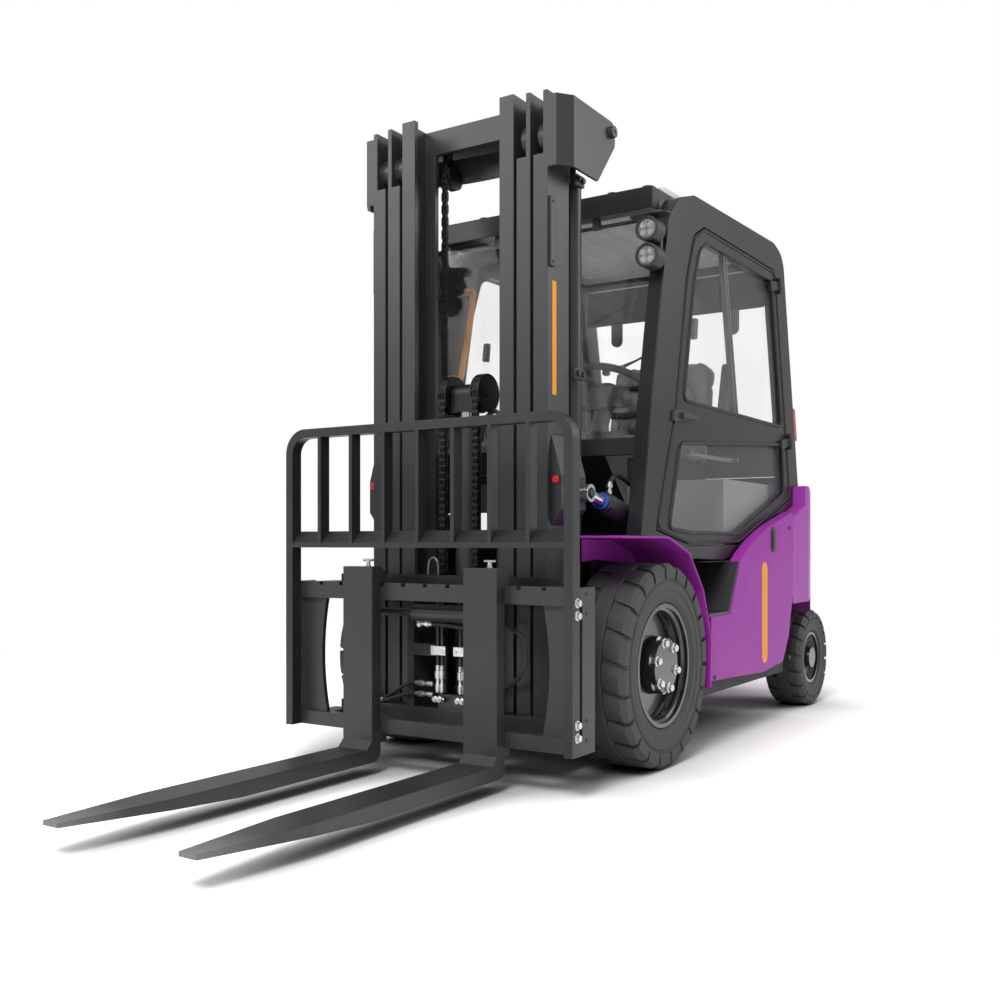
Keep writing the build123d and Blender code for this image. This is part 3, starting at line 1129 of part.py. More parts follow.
# Chassis: a battery tray between the axles, a narrow neck over the drive axle, tilt pin brackets
TRAY_HALF = BODY_HALF - PANEL_SHEET
with BuildPart() as chassis_frame:
    with BuildSketch(plan_plane(CHASSIS_BOTTOM)):
        with Locations((0, (TRAY_FRONT + BODY_SPLIT) / 2)):
            Rectangle(2 * TRAY_HALF, BODY_SPLIT - TRAY_FRONT)
        with Locations((0, (NECK_DROP + TRAY_FRONT) / 2)):
            Rectangle(2 * FRONT_FRAME_HALF, TRAY_FRONT - NECK_DROP)
    extrude(amount=CHASSIS_PLATE)
    with BuildSketch(plan_plane(AXLE_SEAT_TOP)):
        with Locations((0, (NECK_FRONT + NECK_DROP) / 2)):
            Rectangle(2 * FRONT_FRAME_HALF, NECK_DROP - NECK_FRONT)
    extrude(amount=CHASSIS_PLATE)
    with BuildSketch(front_plane(BODY_SPLIT)):
        with Locations((0, (CHASSIS_BOTTOM + FLOOR_BOTTOM) / 2)):
            Rectangle(2 * TRAY_HALF, FLOOR_BOTTOM - CHASSIS_BOTTOM)
    extrude(amount=CHASSIS_PLATE)
    with BuildSketch(front_plane(TRAY_FRONT)):
        with Locations((0, (CHASSIS_BOTTOM + STEP_TOP) / 2)):
            Rectangle(2 * TRAY_HALF, STEP_TOP - CHASSIS_BOTTOM - CHASSIS_PLATE)
    extrude(amount=CHASSIS_PLATE)
    for side_name, side in SIDES:
        with BuildSketch(side_plane(side * FRONT_FRAME_HALF)):
            Polygon(
                (NECK_DROP, CHASSIS_BOTTOM),
                (TRAY_FRONT, CHASSIS_BOTTOM),
                (TRAY_FRONT, FLOOR_BOTTOM),
                (NECK_FRONT, FLOOR_BOTTOM),
                (NECK_FRONT, AXLE_SEAT_TOP),
                (NECK_DROP, AXLE_SEAT_TOP),
                align=None,
            )
        extrude(amount=-side * CHASSIS_PLATE)
        with BuildSketch(side_plane(side * TRAY_HALF)):
            Polygon(
                (TRAY_FRONT - CHASSIS_PLATE, CHASSIS_BOTTOM),
                (BODY_SPLIT, CHASSIS_BOTTOM),
                (BODY_SPLIT, TRAY_TOP),
                (STEP_REAR_TOP, TRAY_TOP),
                (STEP_REAR, STEP_TOP - CHASSIS_PLATE / 2),
                (TRAY_FRONT - CHASSIS_PLATE, STEP_TOP - CHASSIS_PLATE / 2),
                align=None,
            )
        extrude(amount=-side * CHASSIS_PLATE)
        with BuildSketch(side_plane(side * (FRONT_FRAME_HALF - CHASSIS_PLATE))):
            with Locations((TILT_ANCHOR_Y, (FLOOR_BOTTOM + TILT_ANCHOR_Z) / 2)):
                Rectangle(2 * TILT_EYE_RADIUS, TILT_ANCHOR_Z - FLOOR_BOTTOM + 2 * TILT_EYE_RADIUS)
        extrude(amount=side * (TILT_X - TILT_BARREL_RADIUS - MOVING_GAP - FRONT_FRAME_HALF + CHASSIS_PLATE))
        with BuildSketch(side_plane(side * FRONT_FRAME_HALF)):
            with Locations((TILT_ANCHOR_Y, TILT_ANCHOR_Z)):
                Circle(TILT_PIN)
        extrude(amount=side * (TILT_X + TILT_EYE_WIDTH / 2 + MOVING_GAP - FRONT_FRAME_HALF))
save(chassis_frame.part, "chassis_frame")

# Traction battery: the heavy block that fills the tray
with BuildPart() as battery_block:
    with BuildSketch(plan_plane(CHASSIS_BOTTOM + CHASSIS_PLATE)):
        with Locations((0, BATTERY_FRONT + BATTERY_LENGTH / 2)):
            Rectangle(BATTERY_WIDTH, BATTERY_LENGTH)
    extrude(amount=BATTERY_HEIGHT)
save(battery_block.part, "battery_block")

# Floor, sloped toe plate and the cowl beam that closes the cab's front below the windscreen
with BuildPart() as floor_cowl:
    with BuildSketch(side_plane(0)):
        Polygon(
            (COWL_Y - COWL_DEPTH / 2, COWL_TOP),
            (COWL_Y + COWL_DEPTH / 2, COWL_TOP),
            (COWL_Y + COWL_DEPTH / 2, COWL_BOTTOM),
            (TRAY_FRONT, FLOOR_BOTTOM + FLOOR_SHEET),
            (DECK_FRONT, FLOOR_BOTTOM + FLOOR_SHEET),
            (DECK_FRONT, FLOOR_BOTTOM),
            (TRAY_FRONT - FLOOR_SHEET, FLOOR_BOTTOM),
            (COWL_Y, COWL_BOTTOM),
            (COWL_Y - COWL_DEPTH / 2, COWL_BOTTOM),
            align=None,
        )
    extrude(amount=TOE_HALF, both=True)
    with BuildSketch(front_plane(COWL_Y + COWL_DEPTH / 2)):
        with Locations((0, (COWL_BOTTOM + COWL_TOP) / 2)):
            Rectangle(2 * CAB_INNER, COWL_TOP - COWL_BOTTOM)
    extrude(amount=COWL_DEPTH)
    with BuildSketch(plan_plane(FLOOR_BOTTOM)):
        with Locations((0, (TRAY_FRONT + DECK_FRONT) / 2)):
            Rectangle(2 * CAB_INNER, DECK_FRONT - TRAY_FRONT)
    extrude(amount=FLOOR_SHEET)
save(floor_cowl.part, "floor_cowl")

# Seat deck: the hinged cover over the battery, open underneath
with BuildPart() as seat_deck:
    with BuildSketch(side_plane(-DECK_HALF)):
        Polygon(*DECK_OUTLINE, align=None)
    extrude(amount=2 * DECK_HALF)
    with BuildSketch(side_plane(-DECK_HALF + DECK_SHEET)):
        Polygon(
            (DECK_FRONT + DECK_SHEET, FLOOR_BOTTOM),
            (DECK_FRONT + DECK_SHEET, DECK_TOP - DECK_SHEET),
            (BODY_SPLIT, DECK_TOP - DECK_SHEET),
            (BODY_SPLIT, FLOOR_BOTTOM),
            align=None,
        )
    extrude(amount=2 * (DECK_HALF - DECK_SHEET), mode=Mode.SUBTRACT)
save(seat_deck.part, "seat_deck")

# Front fenders: one bent sheet over each drive wheel, with a narrow skirt back to the chassis neck
for side_name, side in SIDES:
    with BuildPart() as fender:
        with BuildSketch(side_plane(side * FENDER_INNER)):
            with BuildLine():
                FilletPolyline(*FENDER_LINE, radius=FENDER_BEND)
                offset(amount=FENDER_SHEET, side=Side.RIGHT)
            make_face()
        extrude(amount=side * (HALF_WIDTH - FENDER_INNER))
        with BuildSketch(side_plane(side * FRONT_FRAME_HALF)):
            with BuildLine():
                FilletPolyline(*FENDER_LINE[1:], radius=FENDER_BEND)
                offset(amount=FENDER_SHEET, side=Side.RIGHT)
            make_face()
        extrude(amount=side * (FENDER_INNER - FRONT_FRAME_HALF))
    save(fender.part, f"fender_{side_name}")

# Body sides: the panel that covers the battery, cut away in front for the step
for side_name, side in SIDES:
    with BuildPart() as side_panel:
        with BuildSketch(side_plane(side * TRAY_HALF)):
            with BuildLine():
                Polyline(*PANEL_LINE)
                Spline(PANEL_LINE[-1], *PANEL_TOP_ARC, PANEL_LINE[0])
            make_face()
        extrude(amount=side * PANEL_SHEET)
    save(side_panel.part, f"side_panel_{side_name}")

# Steps: a ribbed tread in a recess of the body side
with BuildPart() as steps:
    for side_name, side in SIDES:
        with BuildSketch(side_plane(side * (FRONT_FRAME_HALF + STEP_GAP))):
            Polygon(
                (TRAY_FRONT + STEP_GAP, STEP_TOP),
                (STEP_REAR, STEP_TOP),
                (STEP_REAR_TOP, TRAY_TOP),
                (STEP_REAR_TOP - STEP_SHEET, TRAY_TOP),
                (STEP_REAR - STEP_SHEET, STEP_TOP + STEP_SHEET),
                (TRAY_FRONT + STEP_GAP, STEP_TOP + STEP_SHEET),
                align=None,
            )
        extrude(amount=side * (BODY_HALF - FRONT_FRAME_HALF - 2 * STEP_GAP))
        with BuildSketch(side_plane(side * (FRONT_FRAME_HALF + STEP_GAP))):
            Polygon(
                (TRAY_FRONT + STEP_GAP, STEP_TOP),
                (STEP_REAR, STEP_TOP),
                (STEP_REAR_TOP, TRAY_TOP),
                (TRAY_FRONT + STEP_GAP, TRAY_TOP),
                align=None,
            )
        extrude(amount=side * STEP_SHEET)
save(steps.part, "steps")

# Counterweight: one casting, narrowing towards the tail and arched over the steered wheels
with BuildPart() as counterweight:
    with BuildSketch(side_plane(-BODY_HALF)):
        Polygon(*WEIGHT_PROFILE, align=None)
    extrude(amount=2 * BODY_HALF)
    with BuildSketch(plan_plane(0)):
        Polygon(
            *[(x, y) for x, y in WEIGHT_PLAN],
            *[(-x, y) for x, y in reversed(WEIGHT_PLAN)],
            align=None,
        )
        fillet(vertices().group_by(Axis.Y)[1:], WEIGHT_ROUND)
    extrude(amount=DECK_TOP, mode=Mode.INTERSECT)
    for side_name, side in SIDES:
        with BuildSketch(side_plane(side * (CAB_INNER - DOOR_GAP))):
            Polygon(*WEIGHT_DOOR_CUT, align=None)
        extrude(amount=side * BODY_HALF, mode=Mode.SUBTRACT)
    with BuildSketch(plan_plane(TOW_SLOT_BOTTOM)):
        with Locations((0, TAIL - TOW_SLOT_DEPTH / 2)):
            Rectangle(TOW_SLOT_WIDTH, TOW_SLOT_DEPTH)
    extrude(amount=TOW_SLOT_TOP - TOW_SLOT_BOTTOM, mode=Mode.SUBTRACT)
    with BuildSketch(plan_plane(TAIL_BOTTOM)):
        with Locations((0, TAIL - TOW_SLOT_DEPTH / 2)):
            Circle(TOW_PIN_RADIUS)
    extrude(amount=TOW_SLOT_TOP + TOW_PIN_REACH - TAIL_BOTTOM, mode=Mode.SUBTRACT)
save(counterweight.part, "counterweight")

def hinge_plane(side, level, along):
    """Plane square to a door's leaning hinge line: x, then towards the tail; along from this level."""
    run = DOOR_REAR_FOOT[0] - DOOR_REAR_TOP[0]
    rise = DOOR_REAR_TOP[1] - DOOR_REAR_FOOT[1]
    lean = (-run / hypot(run, rise), rise / hypot(run, rise))
    y = DOOR_REAR_TOP[0] + (DOOR_REAR_TOP[1] - level) * run / rise + DOOR_GAP / 2
    origin = (side * HINGE_X, Y_AXLE + y + along * lean[0], level + along * lean[1])
    return Plane(origin=origin, x_dir=(1, 0, 0), z_dir=(0, *lean))


# Cab frame: two side frames round the door openings, the header box, rear tie and roof rails
DOOR_OUT = CAB_HALF
DOOR_IN = DOOR_OUT - DOOR_THICKNESS
with BuildPart() as cab_frame:
    for side_name, side in SIDES:
        with BuildSketch(side_plane(side * CAB_INNER)):
            Polygon(*CAB_OUTLINE, align=None)
            fillet(vertices().sort_by(Axis.Y)[-6:], CAB_CORNER)
            with BuildSketch(mode=Mode.SUBTRACT):
                Polygon(*DOOR_OUTLINE, align=None)
                fillet(vertices().sort_by(Axis.Y)[-4:], DOOR_CORNER)
                offset(amount=DOOR_GAP)
        extrude(amount=side * (CAB_HALF - CAB_INNER))
        leaf_x = side * (CAB_HALF + HINGE_LEAF / 2 - HINGE_X)
        knuckle_start = HINGE_KNUCKLE_LENGTH / 2 + HINGE_KNUCKLE_GAP
        knuckle_end = knuckle_start + HINGE_KNUCKLE_END
        for level in HINGE_LEVELS:
            for along in (knuckle_start, -knuckle_end):
                with BuildSketch(hinge_plane(side, level, along)):
                    Circle(HINGE_KNUCKLE)
                    with Locations((leaf_x, HINGE_TAIL / 2)):
                        Rectangle(HINGE_LEAF, HINGE_TAIL)
                extrude(amount=HINGE_KNUCKLE_END)
            with BuildSketch(hinge_plane(side, level, -knuckle_end)):
                Circle(HINGE_PIN)
            extrude(amount=2 * knuckle_end)
    with BuildSketch(side_plane(-CAB_INNER)):
        with Locations((HEADER_FRONT + HEADER_DEPTH / 2, (HEADER_BOTTOM + HEADER_TOP) / 2)):
            Rectangle(HEADER_DEPTH, HEADER_TOP - HEADER_BOTTOM)
        with Locations((REAR_TIE_Y, REAR_TIE_Z)):
            Rectangle(REAR_TIE, REAR_TIE)
        with Locations((REAR_SILL_Y, DECK_TOP + REAR_TIE / 2)):
            Rectangle(REAR_TIE, REAR_TIE)
    extrude(amount=2 * CAB_INNER)
save(cab_frame.part, "cab_frame")

# Roof: a pressed panel with lengthwise ribs, let in between the side frames
with BuildPart() as roof_panel:
    with BuildSketch(side_plane(-CAB_INNER)):
        Polygon(*ROOF_PROFILE, align=None)
    extrude(amount=2 * CAB_INNER)
    with BuildSketch(front_plane(ROOF_SLOT_FRONT)):
        with GridLocations(ROOF_SLOT_STEP, 0, ROOF_SLOTS, 1):
            with Locations((0, ROOF_BOTTOM)):
                Rectangle(ROOF_SLOT, 2 * ROOF_SLOT_DEPTH)
    extrude(amount=ROOF_SLOT_FRONT - ROOF_SLOT_REAR, mode=Mode.SUBTRACT)
save(roof_panel.part, "roof_panel")

# Windscreen and rear window
with BuildPart() as windscreen:
    with BuildSketch(side_plane(-CAB_INNER)):
        Polygon(
            (COWL_Y - GLASS, COWL_TOP),
            (COWL_Y, COWL_TOP),
            (HEADER_FRONT + HEADER_DEPTH / 2 + GLASS, HEADER_BOTTOM),
            (HEADER_FRONT + HEADER_DEPTH / 2, HEADER_BOTTOM),
            align=None,
        )
    extrude(amount=2 * CAB_INNER)
save(windscreen.part, "windscreen")

with BuildPart() as rear_window:
    with BuildSketch(side_plane(-CAB_INNER)):
        Polygon(
            (REAR_TIE_Y, REAR_TIE_Z - REAR_TIE / 2),
            (REAR_TIE_Y + GLASS, REAR_TIE_Z - REAR_TIE / 2),
            (REAR_SILL_Y + GLASS, DECK_TOP + REAR_TIE),
            (REAR_SILL_Y, DECK_TOP + REAR_TIE),
            align=None,
        )
    extrude(amount=2 * CAB_INNER)
save(rear_window.part, "rear_window")

# Doors: a frame hung at its leaning rear edge, with an upper and a lower pane
for side_name, side in SIDES:
    with BuildPart() as door:
        with BuildSketch(side_plane(side * DOOR_IN)):
            Polygon(*DOOR_OUTLINE, align=None)
            fillet(vertices().sort_by(Axis.Y)[-4:], DOOR_CORNER)
            for pane in (UPPER_PANE, LOWER_PANE):
                with BuildSketch(mode=Mode.SUBTRACT):
                    Polygon(*pane, align=None)
                    fillet(vertices(), PANE_CORNER)
        extrude(amount=side * DOOR_THICKNESS)
        leaf_x = side * (CAB_HALF + HINGE_LEAF / 2 - HINGE_X)
        for level in HINGE_LEVELS:
            with BuildSketch(hinge_plane(side, level, -HINGE_KNUCKLE_LENGTH / 2)):
                Circle(HINGE_KNUCKLE)
                with Locations((leaf_x, -HINGE_LENGTH / 2)):
                    Rectangle(HINGE_LEAF, HINGE_LENGTH)
                Circle(HINGE_PIN + RUNNING_GAP, mode=Mode.SUBTRACT)
            extrude(amount=HINGE_KNUCKLE_LENGTH)
    save(door.part, f"door_{side_name}")
    with BuildPart() as door_glass:
        with BuildSketch(side_plane(side * (DOOR_IN + DOOR_THICKNESS / 2))):
            for pane in (UPPER_PANE, LOWER_PANE):
                with BuildSketch():
                    Polygon(*pane, align=None)
                    fillet(vertices(), PANE_CORNER)
        extrude(amount=side * GLASS)
    save(door_glass.part, f"door_glass_{side_name}")

# Seat: a sprung base on the deck with a strut behind the back, a cushion and a back
SEAT_TOP = DECK_TOP + SEAT_BASE_HEIGHT + SEAT_CUSHION
SEAT_REAR = SEAT_FRONT + SEAT_LENGTH + RUNNING_GAP
with BuildPart() as seat_base:
    with BuildSketch(plan_plane(DECK_TOP)):
        with Locations((0, SEAT_FRONT + SEAT_LENGTH / 2)):
            Rectangle(SEAT_WIDTH * BASE_SHARE, SEAT_LENGTH * BASE_SHARE)
    extrude(amount=SEAT_BASE_HEIGHT)
    strut_top = SEAT_TOP + SEAT_STRUT_TOP
    strut_lean = SEAT_STRUT_TOP * tan(radians(SEAT_LEAN))
    with BuildSketch(side_plane(-SEAT_STRUT_HALF)):
        Polygon(
            (SEAT_REAR - SEAT_LENGTH / 3, DECK_TOP),
            (SEAT_REAR + SEAT_STRUT, DECK_TOP),
            (SEAT_REAR + SEAT_STRUT, SEAT_TOP),
            (SEAT_REAR + SEAT_STRUT + strut_lean, strut_top),
            (SEAT_REAR + strut_lean, strut_top),
            (SEAT_REAR, SEAT_TOP),
            (SEAT_REAR, DECK_TOP + SEAT_BASE_HEIGHT),
            (SEAT_REAR - SEAT_LENGTH / 3, DECK_TOP + SEAT_BASE_HEIGHT),
            align=None,
        )
    extrude(amount=2 * SEAT_STRUT_HALF)
save(seat_base.part, "seat_base")

with BuildPart() as seat_cushion:
    with BuildSketch(plan_plane(DECK_TOP + SEAT_BASE_HEIGHT)):
        with Locations((0, SEAT_FRONT + SEAT_LENGTH / 2)):
            RectangleRounded(SEAT_WIDTH, SEAT_LENGTH, SEAT_ROUND)
    extrude(amount=SEAT_CUSHION)
    fillet(faces().sort_by(Axis.Z)[-1].edges(), SEAT_ROUND / 2)
save(seat_cushion.part, "seat_cushion")

with BuildPart() as seat_back:
    back_plane = Plane(
        origin=(0, Y_AXLE + SEAT_FRONT + SEAT_LENGTH, SEAT_TOP + RUNNING_GAP),
        x_dir=(1, 0, 0),
        z_dir=(0, -cos(radians(SEAT_LEAN)), sin(radians(SEAT_LEAN))),
    )
    with BuildSketch(back_plane):
        with Locations((0, SEAT_BACK / 2)):
            RectangleRounded(SEAT_WIDTH, SEAT_BACK, SEAT_ROUND)
    extrude(amount=SEAT_CUSHION)
    fillet(faces().sort_by(Axis.Y)[0].edges(), SEAT_ROUND / 2)
save(seat_back.part, "seat_back")

# Dash console and steering column
COLUMN_AXIS = (0, sin(radians(COLUMN_LEAN)), cos(radians(COLUMN_LEAN)))


def column_plane(along):
    """Plane across the steering column, at a distance below the wheel's centre."""
    return Plane(
        origin=(
            WHEEL_X,
            Y_AXLE + WHEEL_Y - along * COLUMN_AXIS[1],
            WHEEL_Z - along * COLUMN_AXIS[2],
        ),
        x_dir=(1, 0, 0),
        z_dir=COLUMN_AXIS,
    )


with BuildPart() as dash_console:
    with BuildSketch(side_plane(-DASH_HALF)):
        Polygon(*DASH_PROFILE, align=None)
    extrude(amount=2 * DASH_HALF)
    with BuildSketch(column_plane(COLUMN_LENGTH)):
        Circle(COLUMN_RADIUS)
    extrude(amount=COLUMN_LENGTH - WHEEL_HUB / 2 - RUNNING_GAP)
save(dash_console.part, "dash_console")

with BuildPart() as steering_wheel:
    with BuildSketch(column_plane(WHEEL_HUB / 2)):
        Circle(COLUMN_RADIUS)
    extrude(amount=WHEEL_HUB)
    with BuildSketch(column_plane(WHEEL_SPOKE / 2)):
        with PolarLocations(WHEEL_RADIUS / 2, WHEEL_SPOKES):
            Rectangle(WHEEL_RADIUS, 2 * WHEEL_SPOKE)
    extrude(amount=WHEEL_SPOKE)
    rim_plane = Plane(
        origin=(WHEEL_X, Y_AXLE + WHEEL_Y, WHEEL_Z),
        x_dir=(1, 0, 0),
        z_dir=(0, -COLUMN_AXIS[2], COLUMN_AXIS[1]),
    )
    with BuildSketch(rim_plane):
        with Locations((WHEEL_RADIUS, 0)):
            Circle(WHEEL_TUBE)
    revolve(axis=Axis((WHEEL_X, Y_AXLE + WHEEL_Y, WHEEL_Z), COLUMN_AXIS))
save(steering_wheel.part, "steering_wheel")

# Work lamps: a pair of round lamps on a bracket at the top of each front pillar
with BuildPart() as work_lamps:
    for side_name, side in SIDES:
        for level in LAMP_LEVELS:
            with BuildSketch(front_plane(LAMP_BACK)):
                with Locations((side * LAMP_X, level)):
                    Circle(LAMP_RADIUS)
            extrude(amount=LAMP_DEPTH)
        with BuildSketch(front_plane(LAMP_PILLAR)):
            with Locations((side * LAMP_X, sum(LAMP_LEVELS) / 2)):
                Rectangle(LAMP_BRACKET, LAMP_LEVELS[1] - LAMP_LEVELS[0] + LAMP_BRACKET)
        extrude(amount=LAMP_PILLAR - LAMP_BACK)
save(work_lamps.part, "work_lamps")

# Tail lamps: a rounded block on the back of each rear pillar
def pillar_back(level):
    """Distance behind the front axle of the rear pillars' back edge at this level."""
    (top_y, top_z), (foot_y, foot_z) = REAR_PILLAR_TOP, REAR_PILLAR_FOOT
    return top_y + (top_z - level) * (foot_y - top_y) / (top_z - foot_z)


with BuildPart() as tail_lamps:
    for side_name, side in SIDES:
        low, high = TAIL_LAMP_Z - TAIL_LAMP_HEIGHT / 2, TAIL_LAMP_Z + TAIL_LAMP_HEIGHT / 2
        with BuildSketch(side_plane(side * (TAIL_LAMP_X - TAIL_LAMP_WIDTH / 2))):
            Polygon(
                (pillar_back(low), low),
                (pillar_back(low) + TAIL_LAMP_DEPTH, low),
                (pillar_back(high) + TAIL_LAMP_DEPTH, high),
                (pillar_back(high), high),
                align=None,
            )
            fillet(vertices().sort_by(Axis.X)[-2:], TAIL_LAMP_ROUND)
        extrude(amount=side * TAIL_LAMP_WIDTH)
save(tail_lamps.part, "tail_lamps")

# Grab handle: a bent bar on the inside of the right front pillar
with BuildPart() as grab_handle:
    with BuildLine() as grip:
        FilletPolyline(*[(x, Y_AXLE + y, z) for x, y, z in GRIP_LINE], radius=GRIP_BEND)
    with BuildSketch(Plane(origin=grip.line @ 0, z_dir=grip.line % 0)):
        Circle(GRIP_RADIUS)
    sweep(path=grip.line)
save(grab_handle.part, "grab_handle")
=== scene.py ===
"""Looks of an electric counterbalance forklift truck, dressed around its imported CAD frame."""
import math

import bmesh
import bpy
from mathutils import Matrix, Vector


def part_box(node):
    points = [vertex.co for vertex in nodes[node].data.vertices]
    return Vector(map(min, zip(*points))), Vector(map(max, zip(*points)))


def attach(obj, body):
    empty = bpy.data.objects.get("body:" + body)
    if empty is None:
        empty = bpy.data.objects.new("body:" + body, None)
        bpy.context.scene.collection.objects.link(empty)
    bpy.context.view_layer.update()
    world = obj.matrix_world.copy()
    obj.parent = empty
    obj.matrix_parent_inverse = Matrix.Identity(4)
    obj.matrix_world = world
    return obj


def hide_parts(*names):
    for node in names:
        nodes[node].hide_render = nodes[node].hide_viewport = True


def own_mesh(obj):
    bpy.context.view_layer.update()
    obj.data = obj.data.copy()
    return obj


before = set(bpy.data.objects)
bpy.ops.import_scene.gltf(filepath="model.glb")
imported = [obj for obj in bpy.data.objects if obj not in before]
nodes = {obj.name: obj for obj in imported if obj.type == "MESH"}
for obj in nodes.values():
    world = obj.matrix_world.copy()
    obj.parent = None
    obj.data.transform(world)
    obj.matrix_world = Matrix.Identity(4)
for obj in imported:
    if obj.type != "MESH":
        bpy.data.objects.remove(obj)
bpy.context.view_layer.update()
SIDES = (("left", 1), ("right", -1))


# Running gear: the welded frame, the axle castings and the knuckles that carry the rear wheels.
# Steel plate and cast iron, shot blasted and sprayed with a satin black two-pack paint: castings
# keep a grainy skin under it, plates look smoother, and worn edges catch the light.
def linear(hex_colour):
    """Turn an sRGB hex colour into the linear colour that a shader reads."""
    parts = [int(hex_colour[i : i + 2], 16) / 255 for i in (1, 3, 5)]
    return (*[p / 12.92 if p <= 0.04045 else ((p + 0.055) / 1.055) ** 2.4 for p in parts], 1.0)


def add_node(tree, kind, settings=None, links=None):
    """Add a node with its settings, and link its sockets from other nodes."""
    made = tree.nodes.new(kind)
    for name, value in (settings or {}).items():
        if isinstance(name, str) and hasattr(made, name):
            setattr(made, name, value)
    for name, value in (settings or {}).items():
        if not (isinstance(name, str) and hasattr(made, name)):
            made.inputs[name].default_value = value
    for name, source in (links or {}).items():
        tree.links.new(source, made.inputs[name])
    return made


def new_material(name, **sockets):
    """Start a material and set the numbers that are the same all over its surface."""
    material = bpy.data.materials.new(name)
    material.use_nodes = True
    shader = material.node_tree.nodes["Principled BSDF"]
    for socket, value in sockets.items():
        shader.inputs[socket.replace("_", " ")].default_value = value
    return material, material.node_tree, shader


def sprayed_paint(name, colour, shade, roughness, grain_mm, grain_depth_mm, edge_mm=3.0, coat=0.0, shine=0.5):
    """Sprayed paint: cloudy in colour and gloss, fine peel as bump, and softly rounded edges."""
    paint, tree, shader = new_material(
        name, Coat_Weight=coat, Coat_Roughness=0.1, Specular_IOR_Level=shine
    )
    place = add_node(tree, "ShaderNodeTexCoord").outputs["Object"]
    cloud = add_node(tree, "ShaderNodeTexNoise", {"Scale": 5.0, "Detail": 5.0}, {"Vector": place})
    fac = cloud.outputs["Fac"]
    tone = add_node(
        tree, "ShaderNodeMix", {"data_type": "RGBA", 6: linear(colour), 7: linear(shade)}, {0: fac}
    )
    low, high = roughness - 0.07, roughness + 0.09
    gloss = add_node(tree, "ShaderNodeMapRange", {"To Min": low, "To Max": high}, {"Value": fac})
    peel = add_node(
        tree, "ShaderNodeTexNoise", {"Scale": 1000 / grain_mm, "Detail": 2.0}, {"Vector": place}
    )
    edge = add_node(tree, "ShaderNodeBevel", {"samples": 4, "Radius": edge_mm / 1000})
    bump = add_node(
        tree,
        "ShaderNodeBump",
        {"Strength": 0.4, "Distance": grain_depth_mm / 1000},
        {"Height": peel.outputs["Fac"], "Normal": edge.outputs["Normal"]},
    )
    tree.links.new(tone.outputs[2], shader.inputs["Base Color"])
    tree.links.new(gloss.outputs["Result"], shader.inputs["Roughness"])
    tree.links.new(bump.outputs["Normal"], shader.inputs["Normal"])
    return paint


def finish_with(material, *names):
    """Give CAD nodes this finish."""
    for name in names:
        nodes[name].data.materials.clear()
        nodes[name].data.materials.append(material)


# Black two-pack on cast iron: dark, grainy, with a broad soft sheen.
cast_black = sprayed_paint("black_paint_on_cast_iron", "#212123", "#29292c", 0.55, 4.0, 0.8)
# Satin black two-pack on plate and rolled sections: smoother, and greyer where light rakes along it.
satin_black = sprayed_paint("satin_black_paint", "#27272a", "#303033", 0.38, 2.0, 0.2)
# The same black paint made darker on the unlit parts under the floor: painted shade.
painted_shade_black = sprayed_paint("black_paint_darkened_as_painted_shade", "#161617", "#1d1d1e", 0.6, 3.0, 0.4)
finish_with(cast_black, "front_axle", "steer_axle", "knuckle_left", "knuckle_right")
finish_with(painted_shade_black, "chassis_frame", "floor_cowl", "battery_block")


# Tyres: solid rubber pressed on the rims, moulded with a plain middle band and shoulder lugs. The
# lugs are open at the shoulder, their ends chamfered, and mould rings step the sidewall. Each is
# one turned carcass with one lug repeated round it from both sides.
def spot(x, y, z):
    """A place in the frame, in metres, from millimetres left of, behind and above the front axle's foot."""
    return Vector((x / 1000, (y - 215) / 1000, z / 1000))


def turned(profile, steps):
    """Turn a closed profile of (along, radius) millimetres round the x axis at the origin."""
    form = bmesh.new()
    rings = []
    for step in range(steps):
        angle = 2 * math.pi * step / steps
        across, up = math.cos(angle) / 1000, math.sin(angle) / 1000
        rings.append([form.verts.new((along / 1000, r * across, r * up)) for along, r in profile])
    for step in range(steps):
        here, there = rings[step], rings[(step + 1) % steps]
        for k in range(len(profile)):
            after = (k + 1) % len(profile)
            form.faces.new((here[k], here[after], there[after], there[k]))
    bmesh.ops.remove_doubles(form, verts=form.verts, dist=1e-6)
    bmesh.ops.recalc_face_normals(form, faces=form.faces)
    return form


def smooth_mesh(name, form, sharp=35.0):
    """Turn a bmesh into a mesh that is smooth except at edges sharper than an angle."""
    mesh = bpy.data.meshes.new(name)
    form.to_mesh(mesh)
    form.free()
    mesh.shade_smooth()
    mesh.set_sharp_from_angle(angle=math.radians(sharp))
    return mesh


def grown(mesh, tree, **values):
    """Run a geometry tree on a mesh, with its named inputs set, and return the plain mesh it gives."""
    maker = bpy.data.objects.new(mesh.name, mesh)
    bpy.context.collection.objects.link(maker)
    step = maker.modifiers.new("grow", "NODES")
    step.node_group = tree
    for item in tree.interface.items_tree:
        if item.name in values:
            step[item.identifier] = values[item.name]
    seen = maker.evaluated_get(bpy.context.evaluated_depsgraph_get())
    result = bpy.data.meshes.new_from_object(seen)
    bpy.data.objects.remove(maker)
    return result


def joined(name, meshes):
    """Join plain meshes into one, each with its own material kept."""
    form = bmesh.new()
    materials = []
    for mesh in meshes:
        first = len(form.faces)
        form.from_mesh(mesh)
        form.faces.ensure_lookup_table()
        here = [m for m in mesh.materials if m][0]
        if here not in materials:
            materials.append(here)
        for face in form.faces[first:]:
            face.material_index = materials.index(here)
    mesh = bpy.data.meshes.new(name)
    form.to_mesh(mesh)
    form.free()
    for material in materials:
        mesh.materials.append(material)
    return mesh


def finished(mesh, material):
    """Give a plain mesh its only material."""
    mesh.materials.clear()
    mesh.materials.append(material)
    return mesh


